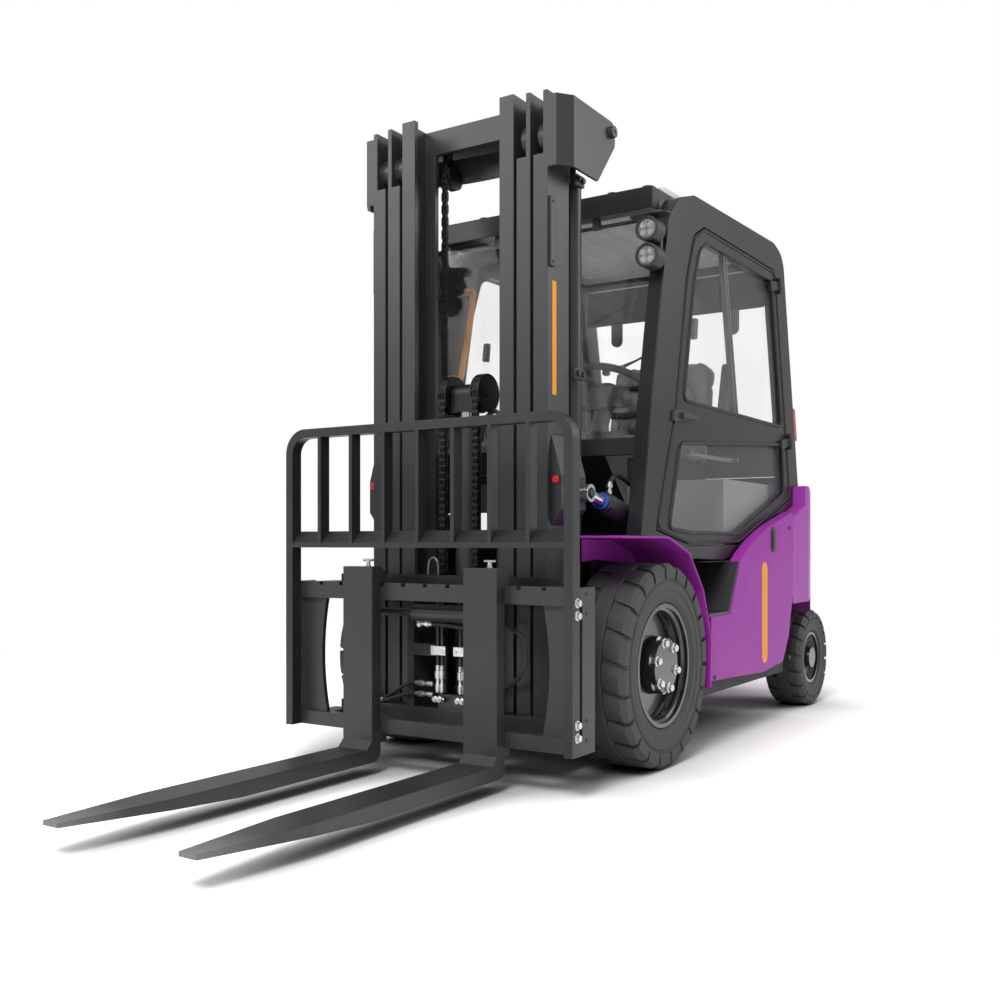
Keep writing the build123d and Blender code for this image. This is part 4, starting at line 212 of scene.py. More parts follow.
def settle(name, mesh, body, material=None):
    """Make a finished mesh a piece that rides on a body."""
    if material:
        mesh.materials.clear()
        mesh.materials.append(material)
    piece = bpy.data.objects.new(name, mesh)
    bpy.context.collection.objects.link(piece)
    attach(piece, body)
    return piece


def geometry_tree(name, **inputs):
    """Start a geometry tree with named inputs; returns the tree with its input and output nodes."""
    tree = bpy.data.node_groups.new(name, "GeometryNodeTree")
    tree.interface.new_socket("Geometry", in_out="OUTPUT", socket_type="NodeSocketGeometry")
    tree.interface.new_socket("Geometry", in_out="INPUT", socket_type="NodeSocketGeometry")
    for socket, kind in inputs.items():
        tree.interface.new_socket(socket, in_out="INPUT", socket_type="NodeSocket" + kind)
    return tree, tree.nodes.new("NodeGroupInput").outputs, tree.nodes.new("NodeGroupOutput").inputs


# One shape repeated round the x axis, from a start angle.
ring_tree, given, out = geometry_tree("round_a_hub", Count="Int", Start="Float", Finish="Material")
spots = add_node(ring_tree, "GeometryNodeMeshLine", {"Offset": (0, 0, 0)}, {"Count": given["Count"]})
index = add_node(ring_tree, "GeometryNodeInputIndex")
share = add_node(
    ring_tree, "ShaderNodeMath", {"operation": "DIVIDE"}, {0: index.outputs[0], 1: given["Count"]}
)
turn = add_node(
    ring_tree,
    "ShaderNodeMath",
    {"operation": "MULTIPLY_ADD", 1: 2 * math.pi},
    {0: share.outputs[0], 2: given["Start"]},
)
aim = add_node(ring_tree, "ShaderNodeCombineXYZ", None, {"X": turn.outputs[0]})
copies = add_node(
    ring_tree,
    "GeometryNodeInstanceOnPoints",
    None,
    {"Points": spots.outputs["Mesh"], "Instance": given["Geometry"], "Rotation": aim.outputs[0]},
)
real = add_node(ring_tree, "GeometryNodeRealizeInstances", None, {"Geometry": copies.outputs[0]})
faced = add_node(
    ring_tree, "GeometryNodeSetMaterial", None, {"Geometry": real.outputs[0], "Material": given["Finish"]}
)
ring_tree.links.new(faced.outputs[0], out[0])

# Tyre rubber: carbon black and dusty, dull with a faint grey bloom, and moulded smooth at 3 mm grain.
tyre_rubber = sprayed_paint("tyre_rubber", "#333334", "#404041", 0.62, 3.0, 0.5, edge_mm=1.5)
LUG_STEPS = 3


def tyre_mesh(name, radius, half, bead, lugs, gap, band):
    """A tyre round the x axis: carcass with its middle band, and a row of lugs on each shoulder."""
    floor_r = radius - 12
    wall = half - 6
    right = [
        (band - 2, radius), (band + 1, radius - 2), (band + 1, floor_r), (wall - 10, floor_r - 6),
        (wall - 3, radius * 0.9), (wall, radius * 0.86), (wall, radius * 0.82), (wall + 4, radius * 0.81),
        (wall + 5, radius * 0.75), (wall + 1, radius * 0.735), (wall, bead * 1.09), (wall - 5, bead * 1.06),
        (wall - 5, bead * 1.035), (wall - 14, bead),
    ]
    carcass = smooth_mesh(name, turned(right + [(-a, r) for a, r in reversed(right)], 120), 28)
    carcass.materials.append(tyre_rubber)
    foot = radius - 26
    lug_side = [
        (band + 3, floor_r - 8), (band + 3, radius - 1), (band + 4, radius), (half - 16, radius - 1),
        (half - 1, radius - 16), (half, radius - 19), (half, radius * 0.87), (half - 3, radius * 0.845),
        (wall - 4, radius * 0.835), (wall - 14, foot),
    ]
    meshes = [carcass]
    spread = 2 * math.pi / lugs - gap / radius
    for side in (-1, 1):
        form = bmesh.new()
        rows = []
        for step in range(LUG_STEPS + 1):
            angle = spread * (step / LUG_STEPS - 0.5)
            taper = 1.0 if 0 < step < LUG_STEPS else 0.985
            rows.append([])
            for along, r in lug_side:
                skew = side * 0.1 * (along - band) / half
                reach = r * (taper if r > radius - 12 else 1.0) / 1000
                across, up = math.cos(angle + skew), math.sin(angle + skew)
                rows[-1].append(form.verts.new((side * along / 1000, reach * across, reach * up)))
        for before, after in zip(rows, rows[1:]):
            for k in range(len(lug_side)):
                n = (k + 1) % len(lug_side)
                form.faces.new((before[k], before[n], after[n], after[k]))
        form.faces.new(rows[0])
        form.faces.new(reversed(rows[-1]))
        bmesh.ops.recalc_face_normals(form, faces=form.faces)
        start = 0.0 if side > 0 else math.pi / lugs
        lug = smooth_mesh(name + "_lug", form, 12)
        meshes.append(grown(lug, ring_tree, Count=lugs, Start=start, Finish=tyre_rubber))
    return joined(name, meshes)


front_tyre = tyre_mesh("front_tyre", 353, 110, 214, 22, 17, 30)
rear_tyre = tyre_mesh("rear_tyre", 227, 85, 124, 18, 14, 24)
REAR_AXLE = 1740
WHEELS = (("front", 0, 353, 484), ("rear", REAR_AXLE, 227, 483))
for end, y, z, x in WHEELS:
    for side_name, side in SIDES:
        mesh = (front_tyre if end == "front" else rear_tyre).copy()
        mesh.transform(Matrix.Translation(spot(side * x, y, z)))
        tyre = settle(f"{end}_tyre_tread_{side_name}", mesh, f"{end}_wheel_{side_name}")
        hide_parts(f"{end}_tyre_{side_name}")

# Rims: pressed steel, gloss black, with rolled edge rings. Six long wheel studs with zinc-plated
# hex nuts hold each front rim, with a ring of small hub bolts inside them; rear rims have a hub cap.
rim_black = sprayed_paint("gloss_black_rim_paint", "#1a1a1b", "#212122", 0.24, 2.0, 0.1, coat=0.5)


def plated_steel(name, colour, roughness, streak_mm):
    """Plated or bare steel: metallic, with fine machining streaks in its gloss."""
    plate, tree, shader = new_material(name, Metallic=1.0, Base_Color=linear(colour))
    place = add_node(tree, "ShaderNodeTexCoord").outputs["Object"]
    streak = add_node(
        tree, "ShaderNodeTexNoise", {"Scale": 1000 / streak_mm, "Detail": 3.0}, {"Vector": place}
    )
    low, high = roughness - 0.08, roughness + 0.1
    gloss = add_node(
        tree, "ShaderNodeMapRange", {"To Min": low, "To Max": high}, {"Value": streak.outputs["Fac"]}
    )
    edge = add_node(tree, "ShaderNodeBevel", {"samples": 4, "Radius": 0.0012})
    tree.links.new(gloss.outputs["Result"], shader.inputs["Roughness"])
    tree.links.new(edge.outputs["Normal"], shader.inputs["Normal"])
    return plate


zinc = plated_steel("zinc_plated_steel", "#d2d3d2", 0.3, 2.5)


def nut_on_stud(name, across, height, stud, reach):
    """A chamfered hex nut on its washer with the stud's end through it, along +x at the origin."""
    form = bmesh.new()
    layers = [
        (0, across * 0.72), (3, across * 0.72), (3, across * 0.56), (height * 0.9, across * 0.56),
        (height, across * 0.48), (height, stud), (reach * 0.92, stud), (reach, stud * 0.8),
    ]
    rows = []
    for along, r in layers:
        angles = [math.pi * k / 6 for k in range(12)]
        hexed = 3 <= along <= height and r in (across * 0.56, across * 0.48)
        rows.append([])
        for k, angle in enumerate(angles):
            here = r * (1.0 if not hexed or k % 2 == 0 else 0.866)
            point = (along / 1000, here * math.cos(angle) / 1000, here * math.sin(angle) / 1000)
            rows[-1].append(form.verts.new(point))
    for before, after in zip(rows, rows[1:]):
        for k in range(12):
            n = (k + 1) % 12
            form.faces.new((before[k], before[n], after[n], after[k]))
    form.faces.new(rows[-1])
    form.faces.new(reversed(rows[0]))
    bmesh.ops.recalc_face_normals(form, faces=form.faces)
    return smooth_mesh(name, form, 25)


RIM_RINGS = [
    (62, 186), (72, 184), (80, 188), (84, 194), (84, 198), (79, 200), (79, 203), (88, 205), (92, 209),
    (92, 213), (88, 216), (62, 216),
]
HUB_FACE = 566
for side_name, side in SIDES:
    finish_with(rim_black, f"front_rim_{side_name}", f"rear_rim_{side_name}")
    rings = smooth_mesh("rim_rings", turned(RIM_RINGS, 96), 40)
    boss = smooth_mesh("hub_boss", turned([(0, 0), (0, 26), (12, 25), (15, 21), (15, 0)], 32), 30)
    boss.transform(Matrix.Translation(((HUB_FACE - 484) / 1000, 0, 0)))
    fixings = [finished(rings, rim_black), finished(boss, rim_black)]
    for count, reach_out, nut in (
        (6, 80, nut_on_stud("wheel_nut", 34, 24, 13, 36)),
        (10, 47, nut_on_stud("hub_bolt", 15, 8, 5, 12)),
    ):
        nut.transform(Matrix.Translation(((HUB_FACE - 484) / 1000, 0, reach_out / 1000)))
        fixings.append(grown(nut, ring_tree, Count=count, Start=0.25, Finish=zinc))
    mesh = joined(f"wheel_fixings_{side_name}", fixings)
    if side < 0:
        mesh.transform(Matrix.Rotation(math.pi, 4, "Z"))
    mesh.transform(Matrix.Translation(spot(side * 484, 0, 353)))
    settle(mesh.name, mesh, f"front_wheel_{side_name}")

# Mast: three nested pairs of rolled channels with cross ties and head brackets, welded up and painted
# satin black. Rods are hard chromed; the sheaves and the crosshead are oiled steel, the pins machined.
bare_steel = plated_steel("machined_steel", "#77787a", 0.4, 4.0)
chrome = plated_steel("hard_chrome_on_steel", "#cfd1d3", 0.14, 6.0)
# Oiled steel: nearly black where the grease collects dust, with a soft metal sheen.
oiled_steel = plated_steel("oiled_chain_steel", "#3b3a39", 0.42, 3.0)
finish_with(satin_black, "mast_outer", "mast_middle", "mast_inner", "lift_barrels", "free_lift_barrel")
finish_with(chrome, "lift_rods", "free_lift_rod")
finish_with(oiled_steel, "lift_sheaves", "free_lift_head")


def plate(name, outline, start, thickness, axis="x"):
    """A flat plate: an outline in mm, y-z from the front axle or x-z or x-y, extruded along an axis."""
    form = bmesh.new()
    rows = []
    for depth in (start, start + thickness):
        rows.append([])
        for a, b in outline:
            point = {"x": (depth, a, b), "y": (a, depth, b), "z": (a, b, depth)}[axis]
            rows[-1].append(form.verts.new(spot(*point)))
    for k in range(len(outline)):
        n = (k + 1) % len(outline)
        form.faces.new((rows[0][k], rows[0][n], rows[1][n], rows[1][k]))
    form.faces.new(rows[0])
    form.faces.new(reversed(rows[1]))
    bmesh.ops.recalc_face_normals(form, faces=form.faces)
    return smooth_mesh(name, form, 30)


def round_end_plate(start, end, radius, steps=8):
    """Outline of a plate with round ends between two points."""
    lean = math.atan2(end[1] - start[1], end[0] - start[0])
    outline = []
    for centre, first in ((end, lean - math.pi / 2), (start, lean + math.pi / 2)):
        for k in range(steps + 1):
            angle = first + math.pi * k / steps
            outline.append((centre[0] + radius * math.cos(angle), centre[1] + radius * math.sin(angle)))
    return outline


def drawn_tube(name, points, radius, material, smooth=True):
    """A round tube or hose, in millimetres, along points; smooth ones bend as one curve."""
    line = bpy.data.curves.new(name, "CURVE")
    line.dimensions = "3D"
    line.bevel_depth = radius / 1000
    line.bevel_resolution = 4
    line.resolution_u = 8
    line.use_fill_caps = True
    run = line.splines.new("NURBS" if smooth else "POLY")
    run.points.add(len(points) - 1)
    for point, place in zip(run.points, points):
        point.co = (*spot(*place), 1.0)
    if smooth:
        run.order_u = 3
        run.use_endpoint_u = True
    maker = bpy.data.objects.new(name, line)
    bpy.context.collection.objects.link(maker)
    seen = maker.evaluated_get(bpy.context.evaluated_depsgraph_get())
    mesh = bpy.data.meshes.new_from_object(seen)
    bpy.data.objects.remove(maker)
    mesh.shade_smooth()
    mesh.set_sharp_from_angle(angle=math.radians(40))
    return finished(mesh, material)


# Bolt heads and nuts on a list of places: each vertex carries the way its head faces.
bolt_tree, given, out = geometry_tree(
    "bolt_heads", Across="Float", Height="Float", Sides="Int", Finish="Material"
)
head = add_node(
    bolt_tree,
    "GeometryNodeMeshCylinder",
    None,
    {"Vertices": given["Sides"], "Radius": given["Across"], "Depth": given["Height"]},
)
washer_r = add_node(bolt_tree, "ShaderNodeMath", {"operation": "MULTIPLY", 1: 1.35}, {0: given["Across"]})
washer_h = add_node(bolt_tree, "ShaderNodeMath", {"operation": "MULTIPLY", 1: 0.3}, {0: given["Height"]})
washer = add_node(
    bolt_tree,
    "GeometryNodeMeshCylinder",
    {"Vertices": 16},
    {"Radius": washer_r.outputs[0], "Depth": washer_h.outputs[0]},
)
half = add_node(bolt_tree, "ShaderNodeMath", {"operation": "MULTIPLY", 1: 0.5}, {0: given["Height"]})
lift = add_node(bolt_tree, "ShaderNodeCombineXYZ", None, {"Z": half.outputs[0]})
raised = add_node(
    bolt_tree,
    "GeometryNodeTransform",
    None,
    {"Geometry": head.outputs["Mesh"], "Translation": lift.outputs[0]},
)
bolt = add_node(bolt_tree, "GeometryNodeJoinGeometry")
bolt_tree.links.new(raised.outputs[0], bolt.inputs[0])
bolt_tree.links.new(washer.outputs["Mesh"], bolt.inputs[0])
facing = add_node(
    bolt_tree, "GeometryNodeInputNamedAttribute", {"data_type": "FLOAT_VECTOR", "Name": "facing"}
)
aim = add_node(
    bolt_tree, "FunctionNodeAlignRotationToVector", {"axis": "Z"}, {"Vector": facing.outputs["Attribute"]}
)
copies = add_node(
    bolt_tree,
    "GeometryNodeInstanceOnPoints",
    None,
    {"Points": given["Geometry"], "Instance": bolt.outputs[0], "Rotation": aim.outputs[0]},
)
real = add_node(bolt_tree, "GeometryNodeRealizeInstances", None, {"Geometry": copies.outputs[0]})
faced = add_node(
    bolt_tree, "GeometryNodeSetMaterial", None, {"Geometry": real.outputs[0], "Material": given["Finish"]}
)
bolt_tree.links.new(faced.outputs[0], out[0])


def bolt_heads(places, across, height, material, sides=6):
    """Bolt heads at (place, facing) pairs; places in millimetres, across corners and height too."""
    mesh = bpy.data.meshes.new("bolt_places")
    mesh.from_pydata([spot(*place) for place, _ in places], [], [])
    ways = mesh.attributes.new("facing", "FLOAT_VECTOR", "POINT")
    for item, (_, way) in zip(ways.data, places):
        item.vector = way
    return grown(
        mesh, bolt_tree, Across=across / 2000, Height=height / 1000, Sides=sides, Finish=material
    )


# Mast fittings: roller pins, head bosses, a drilled strip and cylinder clamps on the outer rails.
# Turned steel pins and black plates, bolted on; the strip beside them is plain orange film.
black_zinc = plated_steel("black_zinc_fasteners", "#4a4b4d", 0.36, 2.0)
orange_film = sprayed_paint("orange_marking_film", "#f5a51e", "#f09f18", 0.38, 2.0, 0.05, shine=0.15)
outer_fittings = []
for side_name, side in SIDES:
    boss = turned([(0, 0), (0, 33), (9, 33), (13, 29), (13, 20), (26, 20), (28, 17), (28, 0)], 32)
    boss = smooth_mesh("head_boss", boss, 30)
    if side < 0:
        boss.transform(Matrix.Rotation(math.pi, 4, "Z"))
    boss.transform(Matrix.Translation(spot(side * 416, -112, 2176)))
    outer_fittings.append(finished(boss, satin_black))
    strip = plate(
        "drilled_strip", [(-410, 1668), (-382, 1668), (-382, 1893), (-410, 1893)], side * 360, side * 9
    )
    outer_fittings.append(finished(strip, satin_black))
    holes = [((side * 369, -396, z), (side, 0, 0)) for z in (1684, 1877)]
    outer_fittings.append(bolt_heads(holes, 9, 3, black_zinc, 12))
    band = plate(
        "plain_stripe", [(-388, 1255), (-362, 1255), (-362, 1625), (-388, 1625)], side * 360, side * 0.6
    )
    outer_fittings.append(finished(band, orange_film))
    for z in (1340, 1990):
        clamp = [(-262, z - 18), (-196, z - 18), (-196, z + 18), (-262, z + 18)]
        outer_fittings.append(finished(plate("cylinder_clamp", clamp, side * 360, side * 14), satin_black))
        bolt = [((side * 374, -212, z), (side, 0, 0)), ((side * 374, -246, z), (side, 0, 0))]
        outer_fittings.append(bolt_heads(bolt, 20, 10, black_zinc))
settle("outer_mast_fittings", joined("outer_mast_fittings", outer_fittings), "mast")

# Mast hoses: two steel pipes run up the inner mast beside the free lift cylinder, clipped to its
# shelf, with crimped rubber hose at their upper ends; all carry oil to the side shift.
hose_rubber = sprayed_paint("black_hose_rubber", "#1b1b1c", "#222223", 0.5, 2.0, 0.15, 1.0)
inner_pipes = []
for side in (-1, 1):
    inner_pipes.append(
        drawn_tube("oil_pipe", [(side * 112, -322, 200), (side * 112, -322, 1130)], 9, satin_black, False)
    )
    loop = [
        (side * 112, -322, 1120), (side * 112, -322, 1180), (side * 108, -322, 1225),
        (side * 70, -310, 1225)
    ]
    inner_pipes.append(
        drawn_tube("oil_hose", loop + [(side * 52, -330, 1190), (side * 46, -340, 1120)], 8, hose_rubber)
    )
    for z in (420, 800, 1110):
        clip = [(side * 128, -336), (side * 96, -336), (side * 96, -308), (side * 128, -308)]
        inner_pipes.append(finished(plate("pipe_clip", clip, z, 22, "z"), black_zinc))
settle("inner_mast_pipes", joined("inner_mast_pipes", inner_pipes), "inner_mast")

# Chains: leaf chains of pressed steel plates on riveted pins, oiled. Four plates alternate with three
# along each chain; one cell of two pitches is repeated down each run, and an arc of them lies on a sheave.
line_tree, given, out = geometry_tree("down_a_run", Count="Int", Step="Vector", Finish="Material")
spots = add_node(
    line_tree, "GeometryNodeMeshLine", None, {"Count": given["Count"], "Offset": given["Step"]}
)
copies = add_node(
    line_tree,
    "GeometryNodeInstanceOnPoints",
    None,
    {"Points": spots.outputs["Mesh"], "Instance": given["Geometry"]},
)
real = add_node(line_tree, "GeometryNodeRealizeInstances", None, {"Geometry": copies.outputs[0]})
faced = add_node(
    line_tree, "GeometryNodeSetMaterial", None, {"Geometry": real.outputs[0], "Material": given["Finish"]}
)
line_tree.links.new(faced.outputs[0], out[0])
CHAIN_PITCH = 22
CHAIN_PLATE = 3.0
CHAIN_HALF = 6.2
PIN_HALF = 13.5


def chain_cell():
    """Two pitches of leaf chain from the origin up z: seven plates and two pins."""
    form = bmesh.new()
    for start, across in ((0, (-10.5, -3.5, 3.5, 10.5)), (CHAIN_PITCH, (-7.0, 0.0, 7.0))):
        side_view = round_end_plate((0, start), (0, start + CHAIN_PITCH), CHAIN_HALF, 5)
        for x in across:
            rows = []
            for edge in (x - CHAIN_PLATE / 2, x + CHAIN_PLATE / 2):
                rows.append([form.verts.new((edge / 1000, a / 1000, b / 1000)) for a, b in side_view])
            for k in range(len(side_view)):
                n = (k + 1) % len(side_view)
                form.faces.new((rows[0][k], rows[0][n], rows[1][n], rows[1][k]))
            form.faces.new(rows[0])
            form.faces.new(reversed(rows[1]))
    for z in (0, CHAIN_PITCH):
        turn = Matrix.Translation((0, 0, z / 1000)) @ Matrix.Rotation(math.pi / 2, 4, "Y")
        size = {"radius1": 0.0032, "radius2": 0.0032, "depth": 2 * PIN_HALF / 1000}
        bmesh.ops.create_cone(form, cap_ends=True, segments=8, matrix=turn, **size)
    bmesh.ops.recalc_face_normals(form, faces=form.faces)
    return smooth_mesh("chain_cell", form, 30)


def chain_runs(x, y, bottom, top):
    """A chain on each side, from a lower to an upper level, as one mesh."""
    count = int((top - bottom) / (2 * CHAIN_PITCH))
    stretch = (top - bottom) / (2 * CHAIN_PITCH * count)
    runs = []
    for side in (-1, 1):
        cell = chain_cell()
        cell.transform(Matrix.Scale(stretch, 4, (0, 0, 1)))
        step = (0, 0, 2 * CHAIN_PITCH * stretch / 1000)
        run = grown(cell, line_tree, Count=count, Step=step, Finish=oiled_steel)
        run.transform(Matrix.Translation(spot(side * x, y, bottom)))
        runs.append(run)
    return joined("chain_runs", runs)


free_links = settle("free_lift_chain_links", chain_runs(68, -402, 430, 1285), "carriage")
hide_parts("free_chains")
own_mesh(free_links)
lift_links = settle("main_lift_chain_links", chain_runs(140, -289, 220, 2085), "inner_mast")
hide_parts("lift_chains")
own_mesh(lift_links)
SHEAVE_ARC = 57
arc_chains = []
for side in (-1, 1):
    cell = chain_cell()
    cell.transform(Matrix.Translation((0, 0, -CHAIN_PITCH / 1000)))
    cell.transform(Matrix.Rotation(math.pi / 2, 4, "X"))
    cell.transform(Matrix.Translation((0, 0, SHEAVE_ARC / 1000)))
    for k in range(4):
        link = cell.copy()
        link.transform(Matrix.Rotation(math.radians(-67.5 + 45 * k), 4, "X"))
        link.transform(Matrix.Translation(spot(side * 68, -345, 1285)))
        arc_chains.append(finished(link, oiled_steel))
settle("sheave_chain_arcs", joined("sheave_chain_arcs", arc_chains), "free_head")

# Carriage and side shift: flame-cut plates and bars, welded, in the mast's satin black. A valve block
# on the lower bar feeds the side shift cylinder through steel pipes with zinc-plated unions.
finish_with(satin_black, "carriage", "side_shift_frame", "side_shift_cylinder")


def aimed(mesh, place, way):
    """Turn a mesh made along +x to point a way, and put it at a place in millimetres."""
    turn = Vector((1, 0, 0)).rotation_difference(Vector(way)).to_matrix().to_4x4()
    mesh.transform(Matrix.Translation(spot(*place)) @ turn)
    return mesh


def union(place, way, size=10.0, length=60.0):
    """A hose union: crimped ferrule, hex nut and collar, turned in zinc-plated steel."""
    profile = [
        (0, 0), (0, size * 0.8), (length * 0.1, size), (length * 0.3, size), (length * 0.34, size * 0.72),
        (length * 0.5, size * 0.72), (length * 0.52, size * 1.15), (length * 0.8, size * 1.15),
        (length * 0.82, size * 0.8), (length, size * 0.8), (length, 0),
    ]
    return finished(aimed(smooth_mesh("union", turned(profile, 12), 25), place, way), zinc)


PIPE_Y = -475
carriage_fittings = []
block = plate("valve_block", [(-42, -466), (92, -466), (92, -428), (-42, -428)], 212, 52, "z")
carriage_fittings.append(finished(block, black_zinc))
for x in (-35, -17, 58, 76):
    carriage_fittings.append(
        drawn_tube("oil_pipe", [(x, PIPE_Y, 340), (x, PIPE_Y, 596)], 5.5, satin_black, False)
    )
    carriage_fittings.append(union((x, PIPE_Y, 262 + (x % 3) * 8), (0, 0, 1), 9.5, 92))
    carriage_fittings.append(union((x, PIPE_Y + 4, 244), (0, -1, 0.25), 9.0, 30))
for x in (-26, 67):
    clip = [(x - 30, 397), (x + 30, 397), (x + 30, 427), (x - 30, 427)]
    carriage_fittings.append(finished(plate("pipe_clip", clip, PIPE_Y - 12, 14, "y"), zinc))
    bolts = [((x + s * 20, PIPE_Y - 12, 412), (0, -1, 0)) for s in (-1, 1)]
    carriage_fittings.append(bolt_heads(bolts, 9, 5, zinc))
carriage_fittings.append(union((-88, -514, 503), (1, 0, 0), 9.5, 62))
carriage_fittings.append(union((-84, -516, 518), (0, 0.1, -1), 9.0, 26))
FEED_Z = 226
FEEDS = ((298, -320, -442), (262, -286, -463))
for z, end, end_y in FEEDS:
    carriage_fittings.append(union((-52, PIPE_Y - 3, z), (-1, 0, 0), 9.0, 74))
    carriage_fittings.append(union((end + 6, end_y, FEED_Z), (-1, 0, 0), 8.5, 40))
eye = [(-96, -446, 664), (-96, -446, 690), (-92, -446, 714), (-75, -446, 726), (-58, -446, 714)]
carriage_fittings.append(
    drawn_tube("lifting_eye", eye + [(-54, -446, 690), (-54, -446, 664)], 5, bare_steel)
)
settle("carriage_fittings", joined("carriage_fittings", carriage_fittings), "carriage")


# Carriage hoses: rubber oil hoses with both ends in unions, so each hangs in a slack bow between them;
# the large one carries a corrugated plastic sleeve against chafing.
def hose_curve(name, points, radius, material, body):
    """A hose as one smooth spline along a given route, in millimetres."""
    line = bpy.data.curves.new(name, "CURVE")
    line.dimensions = "3D"
    line.bevel_depth = 1.0
    line.bevel_resolution = 3
    line.resolution_u = 10
    line.use_fill_caps = True
    run = line.splines.new("NURBS")
    run.points.add(len(points) - 1)
    for point, place in zip(run.points, points):
        point.co = (*spot(*place), 1.0)
        point.radius = radius / 1000
    run.order_u = 3
    run.use_endpoint_u = True
    line.materials.append(material)
    hose = bpy.data.objects.new(name, line)
    bpy.context.collection.objects.link(hose)
    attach(hose, body)
    return hose


def route_length(hose):
    """Length in metres of a hose's own smooth line, taken from a bare copy of it."""
    bare = hose.data.copy()
    bare.bevel_depth = 0.0
    ruler = bpy.data.objects.new("hose_ruler", bare)
    bpy.context.collection.objects.link(ruler)
    line = bpy.data.meshes.new_from_object(ruler.evaluated_get(bpy.context.evaluated_depsgraph_get()))
    bpy.data.objects.remove(ruler)
    places = [vertex.co for vertex in line.vertices]
    return sum((b - a).length for a, b in zip(places, places[1:]))


HOSE_DIAMETER = 18
loop_route = [(-26, -514, 503), (40, -514, 503), (110, -502, 492), (190, -490, 502), (262, -486, 508)]
loop_route += [(308, -484, 470), (318, -484, 410), (300, -484, 345), (240, -484, 300), (165, -486, 268)]
loop_route += [(110, -482, 242), (88, -468, 234)]
loop_hose = hose_curve("side_shift_hose", loop_route, HOSE_DIAMETER / 2 - 1.5, hose_rubber, "carriage")
sleeve_tree, given, out = geometry_tree("sleeve_rings", Pitch="Float", Radius="Float", Finish="Material")
places = add_node(
    sleeve_tree, "GeometryNodeCurveToPoints", {"mode": "LENGTH"}, {
        "Curve": given["Geometry"], "Length": given["Pitch"]
    }
)
ring_h = add_node(sleeve_tree, "ShaderNodeMath", {"operation": "MULTIPLY", 1: 0.55}, {0: given["Pitch"]})
ring = add_node(
    sleeve_tree,
    "GeometryNodeMeshCylinder",
    {"Vertices": 14},
    {"Radius": given["Radius"], "Depth": ring_h.outputs[0]},
)
copies = add_node(
    sleeve_tree,
    "GeometryNodeInstanceOnPoints",
    None,
    {"Points": places.outputs["Points"], "Instance": ring.outputs["Mesh"], "Rotation": places.outputs["Rotation"]},
)
real = add_node(sleeve_tree, "GeometryNodeRealizeInstances", None, {"Geometry": copies.outputs[0]})
faced = add_node(
    sleeve_tree, "GeometryNodeSetMaterial", None, {"Geometry": real.outputs[0], "Material": given["Finish"]}
)
sleeve_tree.links.new(faced.outputs[0], out[0])
# Sleeve plastic: black polyamide, moulded, with a faint grey gloss on each ring.
sleeve_plastic = sprayed_paint("corrugated_polyamide", "#2b2b2d", "#343436", 0.42, 1.5, 0.1, 1.0)
sleeve_line = loop_hose.data.copy()
sleeve_line.bevel_depth = 0.0
sleeve_rings = settle(
    "hose_sleeve_rings",
    grown(sleeve_line, sleeve_tree, Pitch=0.009, Radius=HOSE_DIAMETER / 2000, Finish=sleeve_plastic),
    "carriage",
)
route_length(loop_hose)
for number, (z, end, end_y) in enumerate(FEEDS):
    reach, drop, set_back = end + 126, FEED_Z - z, end_y - PIPE_Y + 3
    route = [(-126, PIPE_Y - 3, z)]
    for step in range(1, 10):
        t = step / 9
        ease = t * t * (3 - 2 * t)
        route.append((-126 + reach * t, PIPE_Y - 3 + set_back * ease, z + drop * ease))
    feed = hose_curve(f"feed_hose_{number}", route, 6.5, hose_rubber, "carriage")
    route_length(feed)

# Load guard and forks: the guard is flat bar welded on a bent frame, its strips bolted to the side
# shift; the forks are forged, black, their blades rubbed grey, and sprung pins lock them on the bar.
fork_steel = sprayed_paint("black_paint_on_forged_steel", "#202022", "#313134", 0.4, 5.0, 0.4, 4.0)
# The paint thins to grey steel over the last 200 mm of the blades, where pallets rub it.
fork_tree = fork_steel.node_tree
fork_shader = fork_tree.nodes["Principled BSDF"]
along = add_node(fork_tree, "ShaderNodeTexCoord").outputs["Object"]
along = add_node(fork_tree, "ShaderNodeSeparateXYZ", None, {0: along}).outputs["Y"]
rubbed = add_node(
    fork_tree, "ShaderNodeMapRange", {"From Min": -1.8, "From Max": -2.0, "To Max": 0.5}, {"Value": along}
)
fork_tone = add_node(
    fork_tree,
    "ShaderNodeMix",
    {"data_type": "RGBA", 7: linear("#8f9092")},
    {0: rubbed.outputs["Result"], 6: fork_shader.inputs["Base Color"].links[0].from_socket},
)
fork_tree.links.new(fork_tone.outputs[2], fork_shader.inputs["Base Color"])
# Satin black on the guard, darker than the same paint on the mast, and smooth: the darker tone is painted shade.
guard_black_painted_shade = sprayed_paint("satin_black_darkened_as_painted_shade", "#1c1c1e", "#242427", 0.4, 2.0, 0.15)
finish_with(guard_black_painted_shade, "load_guard")
finish_with(fork_steel, "fork_left", "fork_right")
guard_fittings = []
for number in range(7):
    x = 140 * (number - 3)
    gusset = [(-632, 779), (-600, 779), (-600, 806)]
    guard_fittings.append(finished(plate("gusset", gusset, x + 6, 7), satin_black))
ledge = [(-638, 772), (-632, 772), (-597, 806), (-597, 814)]
guard_fittings.append(finished(plate("guard_ledge", ledge, -558, 1116), guard_black_painted_shade))
for side_name, side in SIDES:
    places = [((side * 576, -612, z), (side, 0, 0)) for z in (595, 557, 233, 195)]
    guard_fittings.append(bolt_heads(places, 22, 11, zinc))
    locks = [((side * 247, -584, 695), (0, 0, 1))]
    guard_fittings.append(bolt_heads(locks, 14, 24, zinc, 12))
    bar = [(side * 247 - 20, -584, 716), (side * 247 + 20, -584, 716)]
    guard_fittings.append(drawn_tube("fork_lock_handle", bar, 4.5, zinc, False))
    # Dark rubber discs fill the side shift's holes: painted shade, where the open holes would look dark.
    holes = [((side * 575, -552, z), (side, 0, 0)) for z in (620, 560, 240, 180)]
    guard_fittings.append(bolt_heads(holes, 10, 2, hose_rubber, 14))
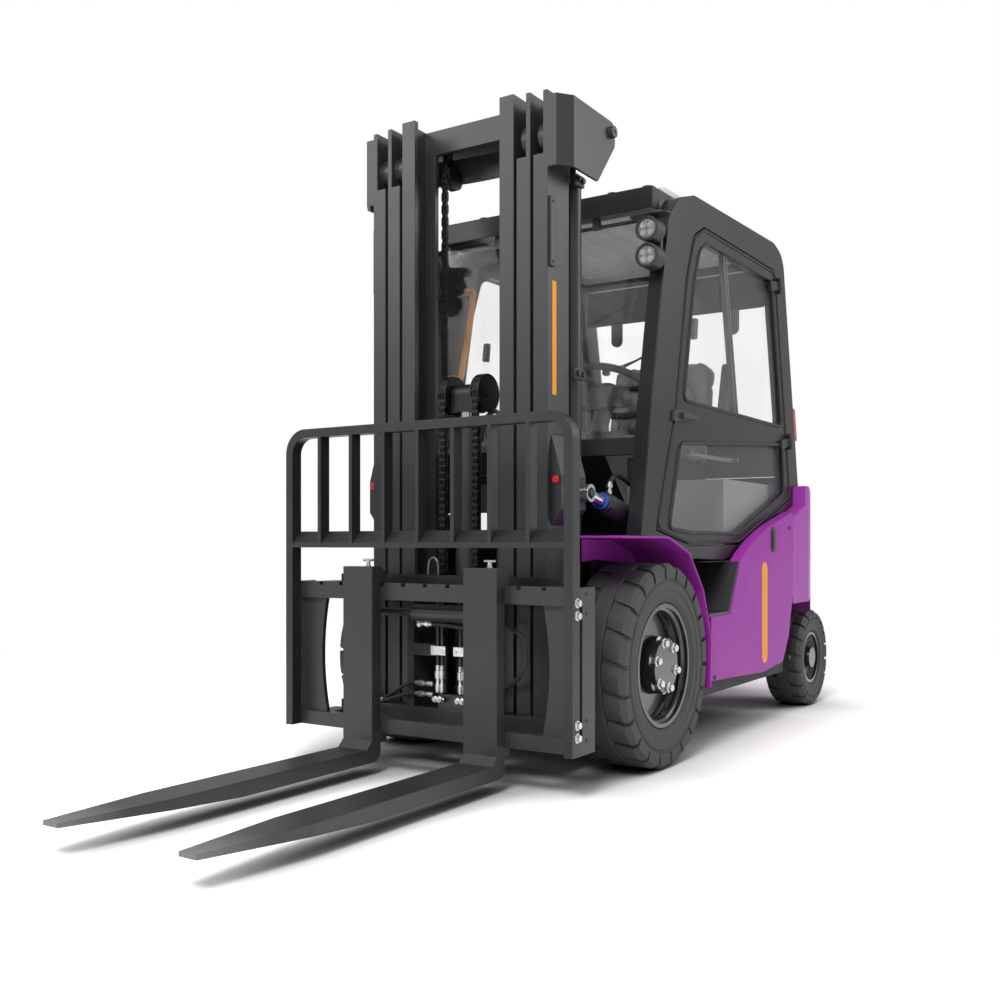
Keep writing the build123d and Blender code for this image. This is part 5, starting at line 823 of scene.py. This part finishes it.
settle("guard_and_fork_fittings", joined("guard_and_fork_fittings", guard_fittings), "side_shift")

# Tilt cylinders: black barrels with chromed rods between the frame and the mast's side brackets, each
# with a blue rod seal in its gland, and a red cap on the bracket's grease point.
finish_with(satin_black, "tilt_brackets", "tilt_barrels")
finish_with(chrome, "tilt_rods")
seal_blue = sprayed_paint("blue_polyurethane_seal", "#2743a8", "#22399a", 0.45, 1.0, 0.05, 1.0)
cap_red = sprayed_paint("red_plastic_cap", "#d0182a", "#c41425", 0.4, 1.0, 0.05, 1.0)
TILT_WAY = Vector((0, 592, -140)).normalized()
glands = []
caps = []
for side_name, side in SIDES:
    eye = Vector((side * 420, -262, 938))
    ring = turned([(0, 19.5), (0, 34), (4, 37), (18, 37), (18, 19.5)], 32)
    glands.append(finished(aimed(smooth_mesh("gland", ring), eye + TILT_WAY * 106, TILT_WAY), black_zinc))
    ring = turned([(0, 19.2), (0, 29), (6, 29), (6, 19.2)], 32)
    glands.append(finished(aimed(smooth_mesh("rod_seal", ring), eye + TILT_WAY * 99, TILT_WAY), seal_blue))
    for reach in (150, 480):
        port = eye + TILT_WAY * reach + Vector((side * 6, 0, 36))
        glands.append(union(port, (0, 0.1, 1), 9.5, 44))
    bend = [
        eye + TILT_WAY * 152 + Vector((side * 6, 4, 74)), eye + TILT_WAY * 170 + Vector((side * 6, 10, 110))
    ]
    bend += [eye + TILT_WAY * 260 + Vector((0, 0, 128)), eye + TILT_WAY * 400 + Vector((0, 0, 110))]
    glands.append(
        drawn_tube("tilt_hose", bend + [eye + TILT_WAY * 470 + Vector((0, 0, 84))], 8, hose_rubber)
    )
    cap = turned([(0, 0), (0, 13), (7, 13), (10, 9), (10, 0)], 20)
    _, place, _, _ = nodes["tilt_brackets"].ray_cast(spot(side * 378, -900, 978), Vector((0, 1, 0)))
    foot = (place.x * 1000, place.y * 1000 + 215, place.z * 1000)
    caps.append(finished(aimed(smooth_mesh("grease_cap", cap), foot, (0, -1, 0)), cap_red))
settle("tilt_glands", joined("tilt_glands", glands), "tilt_barrels")
settle("tilt_caps", joined("tilt_caps", caps), "mast")

# Body: pressed steel fenders and side panels and the cast iron counterweight, all sprayed gloss purple.
# Panels are bolted on, each side panel with a black plastic latch let into it; film stripes stay plain.
purple_paint = sprayed_paint(
    "gloss_purple_paint", "#a136a6", "#9a31a0", 0.34, 3.0, 0.12, 6.0, coat=0.05, shine=0.08
)
purple_cast = sprayed_paint(
    "purple_paint_on_cast_iron", "#a640ab", "#9e3aa4", 0.4, 6.0, 0.5, 16.0, coat=0.05, shine=0.25
)
black_plastic = sprayed_paint("moulded_black_plastic", "#232325", "#2b2b2d", 0.5, 1.5, 0.25, 2.0)
PANEL_OUT = 575
for side_name, side in SIDES:
    finish_with(purple_paint, f"fender_{side_name}", f"side_panel_{side_name}")
    body_trim = []
    frame_edge = round_end_plate((1133, 760), (1133, 818), 26)
    body_trim.append(finished(plate("latch_frame", frame_edge, side * PANEL_OUT, side * 4), black_plastic))
    grip = round_end_plate((1133, 764), (1133, 814), 13)
    body_trim.append(finished(plate("latch_grip", grip, side * PANEL_OUT, side * 9), satin_black))
    band = round_end_plate((1026, 300), (1026, 660), 34, 12)
    body_trim.append(finished(plate("plain_stripe", band, side * PANEL_OUT, side * 0.6), orange_film))
    wall = [
        (-200, 710), (-200, 786), (80, 786), (200, 735), (270, 660), (230, 640), (120, 700), (-100, 716)
    ]
    body_trim.append(finished(plate("fender_inner_wall", wall, side * 364, side * 4), purple_paint))
    screws = [((side * PANEL_OUT, y, z), (side, 0, 0)) for y, z in ((470, 262), (1350, 262), (1350, 840))]
    body_trim.append(bolt_heads(screws, 15, 4, black_zinc, 16))
    settle(f"body_trim_{side_name}", joined("body_trim", body_trim), "truck")
finish_with(purple_cast, "counterweight")
# Moulded plugs close the lifting holes on the weight's top and the two bolt wells in its back.
weight = nodes["counterweight"]
weight_plugs = []
for side_name, side in SIDES:
    for start, way in (((side * 150, 2600, 700), (0, -1, 0)), ((side * 300, 1730, 1500), (0, 0, -1))):
        _, place, outward, _ = weight.ray_cast(spot(*start), Vector(way))
        plug = smooth_mesh("weight_plug", turned([(0, 0), (0, 36), (4, 35), (6, 30), (6, 0)], 32), 40)
        foot = (place.x * 1000, place.y * 1000 + 215, place.z * 1000)
        weight_plugs.append(finished(aimed(plug, foot, outward), black_plastic))
settle("weight_plugs", joined("weight_plugs", weight_plugs), "truck")

def rounded_loop(points, radius, steps=5):
    """A closed outline with its corners rounded."""
    loop = []
    for k, corner in enumerate(points):
        here = Vector(corner)
        before = (Vector(points[k - 1]) - here).normalized()
        after = (Vector(points[(k + 1) % len(points)]) - here).normalized()
        start, end = here + before * radius, here + after * radius
        for step in range(steps + 1):
            t = step / steps
            loop.append(start * (1 - t) ** 2 + here * 2 * t * (1 - t) + end * t**2)
    return loop


# Steps: folded steel treads with punched grip ridges, bolted below the doors.
finish_with(satin_black, "steps", "floor_cowl")
ridge_parts = []
for side_name, side in SIDES:
    ridge = plate(
        "grip_ridge", [(side * 545, 440), (side * 415, 440), (side * 415, 446), (side * 545, 446)], 700, 3,
        "z"
    )
    ridge_parts.append(grown(ridge, line_tree, Count=17, Step=(0, 0.0165, 0), Finish=satin_black))
settle("step_grip_ridges", joined("step_grip_ridges", ridge_parts), "truck")

# Cab: a welded tube frame with pressed doors and roof in satin black, its roof lined in pale grey that is
# brightened to near white as painted light.
# Toughened glass sits in black rubber seals, and two lamps hang on each front pillar.
cab_black = sprayed_paint("black_cab_paint", "#1a1a1c", "#202022", 0.32, 2.0, 0.1, 7.0, shine=0.32)
finish_with(cab_black, "cab_frame", "door_left", "door_right")
# The lining's near-white is partly its own pale grey, partly painted light for the brightness of the roof's
# underside.
pale_lining_with_painted_light = sprayed_paint("pale_roof_lining_brightened_as_painted_light", "#eeeeee", "#e4e4e4", 0.45, 2.0, 0.1, 5.0)
# Its upper side is sprayed like the frame: the tone turns black where the sheet faces up.
roof_tree = pale_lining_with_painted_light.node_tree
roof_shader = roof_tree.nodes["Principled BSDF"]
facing = add_node(roof_tree, "ShaderNodeNewGeometry").outputs["Normal"]
facing = add_node(roof_tree, "ShaderNodeSeparateXYZ", None, {0: facing}).outputs["Z"]
upward = add_node(roof_tree, "ShaderNodeMath", {"operation": "GREATER_THAN", 1: 0.2}, {0: facing})
roof_tone = add_node(
    roof_tree,
    "ShaderNodeMix",
    {"data_type": "RGBA", 7: linear("#232325")},
    {0: upward.outputs[0], 6: roof_shader.inputs["Base Color"].links[0].from_socket},
)
roof_tree.links.new(roof_tone.outputs[2], roof_shader.inputs["Base Color"])
finish_with(pale_lining_with_painted_light, "roof_panel")
rib = plate(
    "roof_rib", rounded_loop([(-386, 290), (-354, 290), (-354, 1290), (-386, 1290)], 14), 2108, 11, "z"
)
roof_ribs = grown(rib, line_tree, Count=6, Step=(0.148, 0, 0), Finish=cab_black)
settle("roof_ribs", roof_ribs, "truck")
def clear_glass(name, colour, alpha, clear):
    """Float glass: lets light straight through, with a faint veil and a trace of waviness in its gloss; where it
    is not fully clear, part of the veil is diffuse colour, a painted reflection.
    """
    glass, tree, shader = new_material(
        name, Base_Color=linear(colour), Roughness=0.03, IOR=1.5, Alpha=alpha, Transmission_Weight=clear
    )
    place = add_node(tree, "ShaderNodeTexCoord").outputs["Object"]
    wave = add_node(tree, "ShaderNodeTexNoise", {"Scale": 2.5, "Detail": 1.0}, {"Vector": place})
    bump = add_node(
        tree, "ShaderNodeBump", {"Strength": 0.05, "Distance": 0.002}, {"Height": wave.outputs["Fac"]}
    )
    tree.links.new(bump.outputs["Normal"], shader.inputs["Normal"])
    return glass


# Toughened float glass: nearly clear; the doors' panes carry a pale grey veil of diffuse colour, a painted
# reflection of the bright surround.
finish_with(clear_glass("toughened_glass", "#f2f5f5", 0.05, 1.0), "windscreen", "rear_window")
finish_with(
    clear_glass("toughened_glass_with_painted_reflection_veil", "#c9cdcd", 0.12, 0.5), "door_glass_left", "door_glass_right"
)


def seal_bead(points, x, radius, corner):
    """A rubber bead round a pane or door: a closed tube on a plane across x."""
    loop = rounded_loop(points, corner)
    form = bmesh.new()
    rows = []
    for k, place in enumerate(loop):
        way = (loop[(k + 1) % len(loop)] - loop[k - 1]).normalized()
        out_way = Vector((way.y, -way.x))
        rows.append([])
        for step in range(8):
            angle = 2 * math.pi * step / 8
            flat = place + out_way * radius * math.cos(angle)
            rows[-1].append(form.verts.new(spot(x + radius * math.sin(angle), flat.x, flat.y)))
    for k in range(len(rows)):
        here, there = rows[k], rows[(k + 1) % len(rows)]
        for step in range(8):
            n = (step + 1) % 8
            form.faces.new((here[step], here[n], there[n], there[step]))
    bmesh.ops.recalc_face_normals(form, faces=form.faces)
    return smooth_mesh("seal_bead", form, 60)


# Door seals, handles and sliding panes: extruded rubber, moulded plastic and drawn aluminium bars.
seal_rubber = sprayed_paint("black_seal_rubber", "#141415", "#1a1a1b", 0.55, 1.5, 0.1, 1.5)
bar_aluminium = sprayed_paint("grey_anodised_aluminium", "#6d6e70", "#636466", 0.35, 1.0, 0.05, 1.5)
BELT = 1272
UPPER_PANE = ((300, BELT + 30), (392, 1740), (450, 1890), (530, 1934), (1270, 1940), (1404, BELT + 30))
LOWER_PANE = ((168, 826), (375, 812), (860, 812), (1440, 1000), (1410, BELT - 50), (268, 1140))
DOOR_EDGE = ((72, 830), (236, 1265), (336, 1758), (405, 1922), (502, 1976), (1298, 1982), (1324, 1957))
DOOR_EDGE += ((1524, 988), (868, 780), (362, 778))
DOOR_OUT = 520
for side_name, side in SIDES:
    trim = []
    for pane in (UPPER_PANE, LOWER_PANE):
        trim.append(finished(seal_bead(pane, side * DOOR_OUT, 7, 34), seal_rubber))
    trim.append(finished(seal_bead(DOOR_EDGE, side * DOOR_OUT, 5, 30), seal_rubber))
    for y_low, y_high in ((838, 704), (862, 728)):
        post = [(y_low, BELT + 36), (y_low + 12, BELT + 36), (y_high + 12, 1930), (y_high, 1930)]
        trim.append(finished(plate("sliding_post", post, side * 494, side * 22), bar_aluminium))
    lock = [(190, 1214), (300, 1222), (400, 1232), (408, 1250), (300, 1262), (200, 1256)]
    trim.append(
        finished(plate("handle_plate", rounded_loop(lock, 8), side * DOOR_OUT, side * 10), black_plastic)
    )
    lever = [(250, 1228), (390, 1236), (394, 1250), (250, 1252)]
    trim.append(
        finished(plate("handle_lever", rounded_loop(lever, 6), side * DOOR_OUT, side * 24), black_plastic)
    )
    catch = [(468, 1560), (500, 1560), (512, 1640), (480, 1640)]
    trim.append(
        finished(plate("pane_catch", rounded_loop(catch, 6), side * 490, side * -16), black_plastic)
    )
    rail = [
        (side * 472, 420, 1120), (side * 466, 430, 1118), (side * 466, 900, 1118), (side * 472, 910, 1120)
    ]
    trim.append(drawn_tube("door_pull", rail, 9, bar_aluminium))
    for ends in (420, 910):
        trim.append(
            drawn_tube(
                "pull_foot", [(side * 472, ends, 1120), (side * 500, ends, 1120)], 8, bar_aluminium, False
            )
        )
    settle(f"door_trim_{side_name}", joined("door_trim", trim), f"door_{side_name}")

# Pillar lamps: black housings on a steel strap, with clear lenses over chromed reflector cups.
finish_with(black_plastic, "work_lamps")
lens_clear, lens_tree, lens_shader = new_material(
    "clear_polycarbonate_lens", Transmission_Weight=0.85, Roughness=0.08, IOR=1.3, Base_Color=linear(
        "#e8eaea"
    )
)
lens_place = add_node(lens_tree, "ShaderNodeTexCoord").outputs["Object"]
flutes = add_node(
    lens_tree, "ShaderNodeTexWave", {"Scale": 20.0, "Distortion": 0.0}, {"Vector": lens_place}
)
lens_bump = add_node(
    lens_tree, "ShaderNodeBump", {"Strength": 0.4, "Distance": 0.001}, {"Height": flutes.outputs["Fac"]}
)
lens_tree.links.new(lens_bump.outputs["Normal"], lens_shader.inputs["Normal"])
lamp_parts = []
LAMP_FRONT = 54
for side_name, side in SIDES:
    for z in (1785, 1880):
        bezel = turned([(0, 32), (0, 44), (-9, 44), (-12, 40), (-12, 36), (-3, 32)], 32)
        lamp_parts.append(
            finished(
                aimed(smooth_mesh("bezel", bezel), (side * 490, LAMP_FRONT, z), (0, 1, 0)), black_plastic
            )
        )
        for dx, dz in ((-14, -13), (14, -13), (-14, 13), (14, 13)):
            cup = turned([(-6, 12), (-6, 10), (0, 4), (0, 0), (1, 0), (1, 12)], 16)
            place = (side * 490 + dx, LAMP_FRONT - 1, z + dz)
            lamp_parts.append(finished(aimed(smooth_mesh("cup", cup), place, (0, 1, 0)), chrome))
        pane = turned([(-8, 0), (-7, 33), (-5, 33), (-6, 0)], 32)
        lamp_parts.append(
            finished(aimed(smooth_mesh("lens", pane), (side * 490, LAMP_FRONT, z), (0, 1, 0)), lens_clear)
        )
    hood = round_end_plate((side * 452, LAMP_FRONT + 20), (side * 528, LAMP_FRONT + 20), 36)
    lamp_parts.append(finished(plate("lamp_hood", hood, 1928, 6, "z"), black_plastic))
settle("pillar_lamp_lenses", joined("pillar_lamp_lenses", lamp_parts), "truck")

# Wiper, header rod and rear band: a steel arm with a rubber blade, a rod under the header, and a dark
# band with two latches across the top of the rear window.
wipers = [drawn_tube("header_rod", [(-455, 186, 1956), (455, 186, 1956)], 7, satin_black, False)]
for x in (-220, 220):
    wipers.append(
        finished(
            plate("rod_bracket", [(x - 16, 1948), (x + 16, 1948), (x + 12, 1990), (x - 12, 1990)], 176, 18, "y"),
            satin_black
        )
    )
wipers.append(
    drawn_tube("wiper_arm", [(-410, 1478, 1640), (-300, 1462, 1668), (-150, 1448, 1700)], 4, satin_black)
)
wipers.append(drawn_tube("wiper_blade", [(-340, 1462, 1640), (-20, 1440, 1760)], 5, seal_rubber, False))
hub = turned([(0, 0), (0, 18), (24, 18), (24, 0)], 20)
wipers.append(finished(aimed(smooth_mesh("wiper_hub", hub), (-412, 1492, 1640), (0, -1, 0)), black_plastic))
band = [(-455, 1850), (455, 1850), (455, 2020), (-455, 2020)]
wipers.append(finished(plate("rear_band", rounded_loop(band, 14), 1366, 6, "y"), black_plastic))
for x in (-300, 300):
    tongue = round_end_plate((x, 1770), (x, 1860), 28)
    wipers.append(finished(plate("rear_latch", tongue, 1372, 14, "y"), black_plastic))
settle("wipers_and_band", joined("wipers_and_band", wipers), "truck")

# Roof lining: black plates under the pressed lining behind the header stand for its vent slots; their darkness is
# painted shade.
painted_shade_slots = []
for number in range(6):
    x = -350 + number * 140
    slot = [(x - 46, 236), (x + 46, 236), (x + 46, 288), (x - 46, 288)]
    painted_shade_slots.append(finished(plate("vent_slot_painted_shade", rounded_loop(slot, 8), 2058, 8, "z"), black_plastic))
settle("roof_vents_painted_shade", joined("roof_vents_painted_shade", painted_shade_slots), "truck")

# Driver's place: a moulded console with the steering column, a black plastic wheel, levers beside the
# seat, and a trim panel that closes the back wall below the rear window; mostly moulded plastic, the
# levers and pedals in satin black.
dash_grey = sprayed_paint("grained_grey_plastic", "#3c3c3e", "#454547", 0.55, 1.2, 0.3, 3.0)
finish_with(black_plastic, "seat_base", "steering_wheel")
finish_with(dash_grey, "dash_console")
# Moulded cover round the seat: pale grey, dull and finely grained.
cover_grey = sprayed_paint("pale_grey_moulded_cover", "#8b8c8e", "#949597", 0.6, 1.2, 0.2, 5.0)
finish_with(cover_grey, "seat_deck")
orange_coat = sprayed_paint("orange_grip_coat", "#e8921c", "#e08a16", 0.42, 2.0, 0.2, 2.0)
finish_with(orange_coat, "grab_handle")
# Red acrylic: glossy and deep in colour, moulded with fine prisms.
tail_red = sprayed_paint("red_acrylic_lens", "#b3121d", "#a50f19", 0.2, 6.0, 0.3, 2.0, coat=0.5)
finish_with(tail_red, "tail_lamps")
inside = []
wall = plate("rear_trim", [(1560, 1086), (1548, 1086), (1508, 1286), (1520, 1286)], -456, 912)
inside.append(finished(wall, dash_grey))
hood = rounded_loop([(40, 1400), (196, 1400), (196, 1318), (40, 1318)], 14)
inside.append(finished(plate("display_hood", hood, 452, 60, "y"), dash_grey))
screen = rounded_loop([(52, 1392), (184, 1392), (184, 1330), (52, 1330)], 8)
inside.append(finished(plate("display_glass", screen, 511, 4, "y"), seal_rubber))
console = rounded_loop(
    [(860, 1040), (1340, 1040), (1340, 1210), (1240, 1268), (930, 1268), (860, 1200)], 24
)
inside.append(finished(plate("lever_console", console, -420, 120), dash_grey))
for number in range(4):
    x = -400 + number * 27
    inside.append(drawn_tube("lever", [(x, 955, 1262), (x, 950, 1330)], 4, satin_black, False))
    knob = turned([(0, 0), (0, 7), (6, 12), (22, 13), (30, 9), (33, 0)], 20)
    inside.append(
        finished(aimed(smooth_mesh("lever_knob", knob, 50), (x, 950, 1322), (0, -0.07, 1)), black_plastic)
    )
for x in (70, 150):
    pedal = rounded_loop([(x - 30, 822), (x + 30, 822), (x + 30, 920), (x - 30, 920)], 10)
    inside.append(finished(plate("pedal", pedal, 640, 10, "y"), satin_black))
    inside.append(drawn_tube("pedal_arm", [(x, 648, 870), (x, 600, 880), (x, 560, 860)], 8, satin_black))
hub_cap = turned([(0, 0), (0, 46), (8, 44), (14, 36), (16, 0)], 32)
settle("driver_controls", joined("driver_controls", inside), "truck")
wheel_way = Vector((0, math.sin(math.radians(28)), math.cos(math.radians(28))))
wheel_parts = [
    finished(
        aimed(smooth_mesh("wheel_hub", hub_cap, 50), Vector((60, 590, 1400)) + wheel_way * 8, wheel_way),
        black_plastic
    )
]
knob = turned([(0, 0), (0, 8), (14, 9), (18, 21), (36, 23), (46, 16), (49, 0)], 24)
spin = Vector((60, 590, 1400)) + Vector((-1, 0, 0)) * 172 + wheel_way * 6
wheel_parts.append(finished(aimed(smooth_mesh("spinner_knob", knob, 50), spin, wheel_way), black_plastic))
settle("wheel_hub_and_knob", joined("wheel_hub_and_knob", wheel_parts), "steering_wheel")

# Seat: foam cushions in grey coated vinyl, swollen by their filling, with sewn channels along them.
# They lie on the sprung base, with an armrest on a pivot at each side of the back.
vinyl, vinyl_tree, vinyl_shader = new_material("grey_grained_vinyl", Roughness=0.5, Sheen_Weight=0.1)
vinyl_place = add_node(vinyl_tree, "ShaderNodeTexCoord").outputs["Object"]
# Embossed leather grain, 3 mm cells, drawn coarser than the real 1 mm so that it shows.
cells = add_node(vinyl_tree, "ShaderNodeTexVoronoi", {"Scale": 1000 / 3.0}, {"Vector": vinyl_place})
worn = add_node(vinyl_tree, "ShaderNodeTexNoise", {"Scale": 7.0, "Detail": 4.0}, {"Vector": vinyl_place})
vinyl_tone = add_node(
    vinyl_tree,
    "ShaderNodeMix",
    {"data_type": "RGBA", 6: linear("#57585a"), 7: linear("#68696b")},
    {0: worn.outputs["Fac"]},
)
vinyl_bump = add_node(
    vinyl_tree, "ShaderNodeBump", {"Strength": 0.3, "Distance": 0.0006}, {
        "Height": cells.outputs["Distance"]
    }
)
vinyl_tree.links.new(vinyl_tone.outputs[2], vinyl_shader.inputs["Base Color"])
vinyl_tree.links.new(vinyl_bump.outputs["Normal"], vinyl_shader.inputs["Normal"])
VOXEL = 0.006
SHRINK = 0.94
SWELL_FRAMES = 20


def swollen(node, cap):
    """A cushion from a CAD node: smaller, remeshed, swollen by cloth pressure, its swelling capped."""
    form = bmesh.new()
    form.from_mesh(nodes[node].data)
    bmesh.ops.remove_doubles(form, verts=form.verts, dist=1e-5)
    low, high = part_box(node)
    middle = (Vector(low) + Vector(high)) / 2
    bmesh.ops.scale(form, vec=(SHRINK, SHRINK, SHRINK), verts=form.verts, space=Matrix.Translation(-middle))
    mesh = bpy.data.meshes.new(node + "_pad")
    form.to_mesh(mesh)
    form.free()
    pad = bpy.data.objects.new(node + "_pad", mesh)
    bpy.context.collection.objects.link(pad)
    remesh = pad.modifiers.new("remesh", "REMESH")
    remesh.mode = "VOXEL"
    remesh.voxel_size = VOXEL
    seen = pad.evaluated_get(bpy.context.evaluated_depsgraph_get())
    still = bpy.data.meshes.new_from_object(seen)
    pad.modifiers.remove(remesh)
    pad.data = still
    before = [vertex.co.copy() for vertex in still.vertices]
    cloth = pad.modifiers.new("filling", "CLOTH")
    cloth.settings.use_pressure = True
    cloth.settings.uniform_pressure_force = 4.0
    cloth.settings.effector_weights.gravity = 0.0
    cloth.settings.quality = 4
    cloth.collision_settings.use_collision = False
    for step in range(1, SWELL_FRAMES + 1):
        bpy.context.scene.frame_set(step)
    seen = pad.evaluated_get(bpy.context.evaluated_depsgraph_get())
    after = [vertex.co.copy() for vertex in seen.data.vertices]
    pad.modifiers.remove(cloth)
    bpy.context.scene.frame_set(1)
    for vertex, old, new in zip(still.vertices, before, after):
        move = new - old
        vertex.co = old + move * min(1.0, cap / max(move.length, 1e-9))
    bpy.data.objects.remove(pad)
    return still


def sewn(mesh, channels, depth_mm, width_mm):
    """Press sewn channels into a cushion: each a distance function of a point, in metres."""
    form = bmesh.new()
    form.from_mesh(mesh)
    form.normal_update()
    for vertex in form.verts:
        near = min(abs(channel(vertex.co)) for channel in channels) / (width_mm / 1000)
        vertex.co -= vertex.normal * (depth_mm / 1000) * math.exp(-near * near)
    return smooth_mesh(mesh.name, form, 180)


seat_low, seat_high = (Vector(corner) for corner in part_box("seat_cushion"))
seat_mid = (seat_low + seat_high) / 2
cushion = sewn(
    swollen("seat_cushion", 0.012),
    [lambda p: abs(p.x) - 0.155, lambda p: p.y - seat_mid.y - 0.09, lambda p: p.y - seat_mid.y + 0.07],
    7,
    9,
)
cushion = settle("seat_cushion_pad", cushion, "truck", vinyl)
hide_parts("seat_cushion")
back_low, back_high = (Vector(corner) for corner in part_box("seat_back"))
back_z = (back_low.z + back_high.z) / 2
back = sewn(
    swollen("seat_back", 0.012),
    [lambda p: abs(p.x) - 0.15, lambda p: p.z - back_z - 0.06, lambda p: p.z - back_z + 0.08],
    7,
    9,
)
back = settle("seat_back_pad", back, "truck", vinyl)
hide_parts("seat_back")
arm = []
for x in (252, -292):
    rest = round_end_plate((1322, 1330), (1388, 1580), 30, 10)
    arm.append(finished(plate("armrest", rest, x, 40), vinyl))
    pivot = turned([(0, 0), (0, 20), (16, 20), (16, 0)], 20)
    arm.append(
        finished(
            aimed(smooth_mesh("armrest_pivot", pivot), (x - 8 if x > 0 else x + 34, 1322, 1330), (1, 0, 0)),
            black_plastic
        )
    )
settle("armrests", joined("armrests", arm), "truck")

# Studio: a matt white floor that keeps the truck's soft shadow and runs out into a white surround,
# a large soft lamp above and behind the level camera, weaker ones on its left and behind the truck.
FLOOR_HALF = 60.0
floor_mesh = bpy.data.meshes.new("studio_floor")
corners = [(-FLOOR_HALF, -FLOOR_HALF, 0), (FLOOR_HALF, -FLOOR_HALF, 0)]
corners += [(FLOOR_HALF, FLOOR_HALF, 0), (-FLOOR_HALF, FLOOR_HALF, 0)]
floor_mesh.from_pydata(corners, [], [(0, 1, 2, 3)])
floor = bpy.data.objects.new("studio_floor", floor_mesh)
bpy.context.collection.objects.link(floor)
# Matt white vinyl: white to the eye near the truck, where it takes the shadow, and plain white further
# out; near the truck an occlusion term darkens its seen colour, a painted shade that deepens the shadow
# under the truck; the light that it throws back on the truck is that of a pale grey floor.
floor_paint, floor_tree, floor_shader = new_material(
    "matt_white_floor", Base_Color=linear("#d8d8d8"), Roughness=0.9
)
floor_place = add_node(floor_tree, "ShaderNodeTexCoord").outputs["Object"]
reach = add_node(floor_tree, "ShaderNodeVectorMath", {"operation": "LENGTH"}, {0: floor_place})
far = add_node(
    floor_tree,
    "ShaderNodeMapRange",
    {"interpolation_type": "SMOOTHSTEP", "From Min": 2.6, "From Max": 5.0},
    {"Value": reach.outputs["Value"]},
)
rays = add_node(floor_tree, "ShaderNodeLightPath").outputs
seen = add_node(
    floor_tree,
    "ShaderNodeMath",
    {"operation": "MAXIMUM"},
    {0: rays["Is Camera Ray"], 1: rays["Is Glossy Ray"]},
)
seen = add_node(
    floor_tree, "ShaderNodeMath", {"operation": "MAXIMUM"}, {
        0: seen.outputs[0], 1: rays["Is Transmission Ray"]
    }
)
# Occlusion darkens the floor's seen colour near the truck: painted shade on top of the lamps' real shadow.
shade = add_node(
    floor_tree, "ShaderNodeAmbientOcclusion", {
        "samples": 8, "Color": (1.35, 1.35, 1.35, 1.0), "Distance": 0.45
    }
)
near_white_with_painted_shade = add_node(floor_tree, "ShaderNodeBsdfDiffuse", None, {"Color": shade.outputs["Color"]})
white = add_node(floor_tree, "ShaderNodeEmission", {"Color": (1, 1, 1, 1), "Strength": 1.0})
eye_mix = add_node(
    floor_tree,
    "ShaderNodeMixShader",
    None,
    {0: far.outputs["Result"], 1: near_white_with_painted_shade.outputs[0], 2: white.outputs[0]},
)
floor_mix = add_node(
    floor_tree,
    "ShaderNodeMixShader",
    None,
    {0: seen.outputs[0], 1: floor_shader.outputs[0], 2: eye_mix.outputs[0]},
)
floor_tree.links.new(floor_mix.outputs[0], floor_tree.nodes["Material Output"].inputs["Surface"])
floor_mesh.materials.append(floor_paint)

world = bpy.data.worlds.new("studio")
bpy.context.scene.world = world
world.use_nodes = True
sky = world.node_tree.nodes["Background"]
sky.inputs["Color"].default_value = (1.0, 1.0, 1.0, 1.0)
room_rays = add_node(world.node_tree, "ShaderNodeLightPath").outputs
room_seen = add_node(
    world.node_tree,
    "ShaderNodeMath",
    {"operation": "MAXIMUM"},
    {0: room_rays["Is Camera Ray"], 1: room_rays["Is Transmission Ray"]},
)
room_level = add_node(
    world.node_tree,
    "ShaderNodeMapRange",
    {"To Min": 0.55, "To Max": 1.0},
    {"Value": room_seen.outputs[0]},
)
world.node_tree.links.new(room_level.outputs["Result"], sky.inputs["Strength"])

for lamp_name, place, watts, size in (
    ("key_lamp", (1.6, -5.2, 5.4), 330.0, 2.2),
    ("fill_lamp", (-3.6, -4.6, 4.4), 120.0, 3.0),
    ("back_lamp", (4.5, 3.5, 3.6), 90.0, 3.0),
):
    lamp_data = bpy.data.lights.new(lamp_name, "AREA")
    lamp_data.energy = watts
    lamp_data.size = size
    lamp = bpy.data.objects.new(lamp_name, lamp_data)
    lamp.location = place
    lamp.rotation_euler = (Vector((0, 0, 0.9)) - Vector(place)).to_track_quat("-Z", "Y").to_euler()
    bpy.context.collection.objects.link(lamp)

bpy.context.scene.view_settings.view_transform = "Standard"
camera_data = bpy.data.cameras.new("camera")
camera_data.lens = 38.88
camera_data.sensor_width = 36.0
camera_data.shift_x = -0.0034
camera_data.shift_y = 0.0435
camera = bpy.data.objects.new("camera", camera_data)
camera.location = (2.1233, -3.6280, 0.7717)
camera.rotation_euler = (math.radians(90), 0, math.radians(32.83))
bpy.context.collection.objects.link(camera)
bpy.context.scene.camera = camera
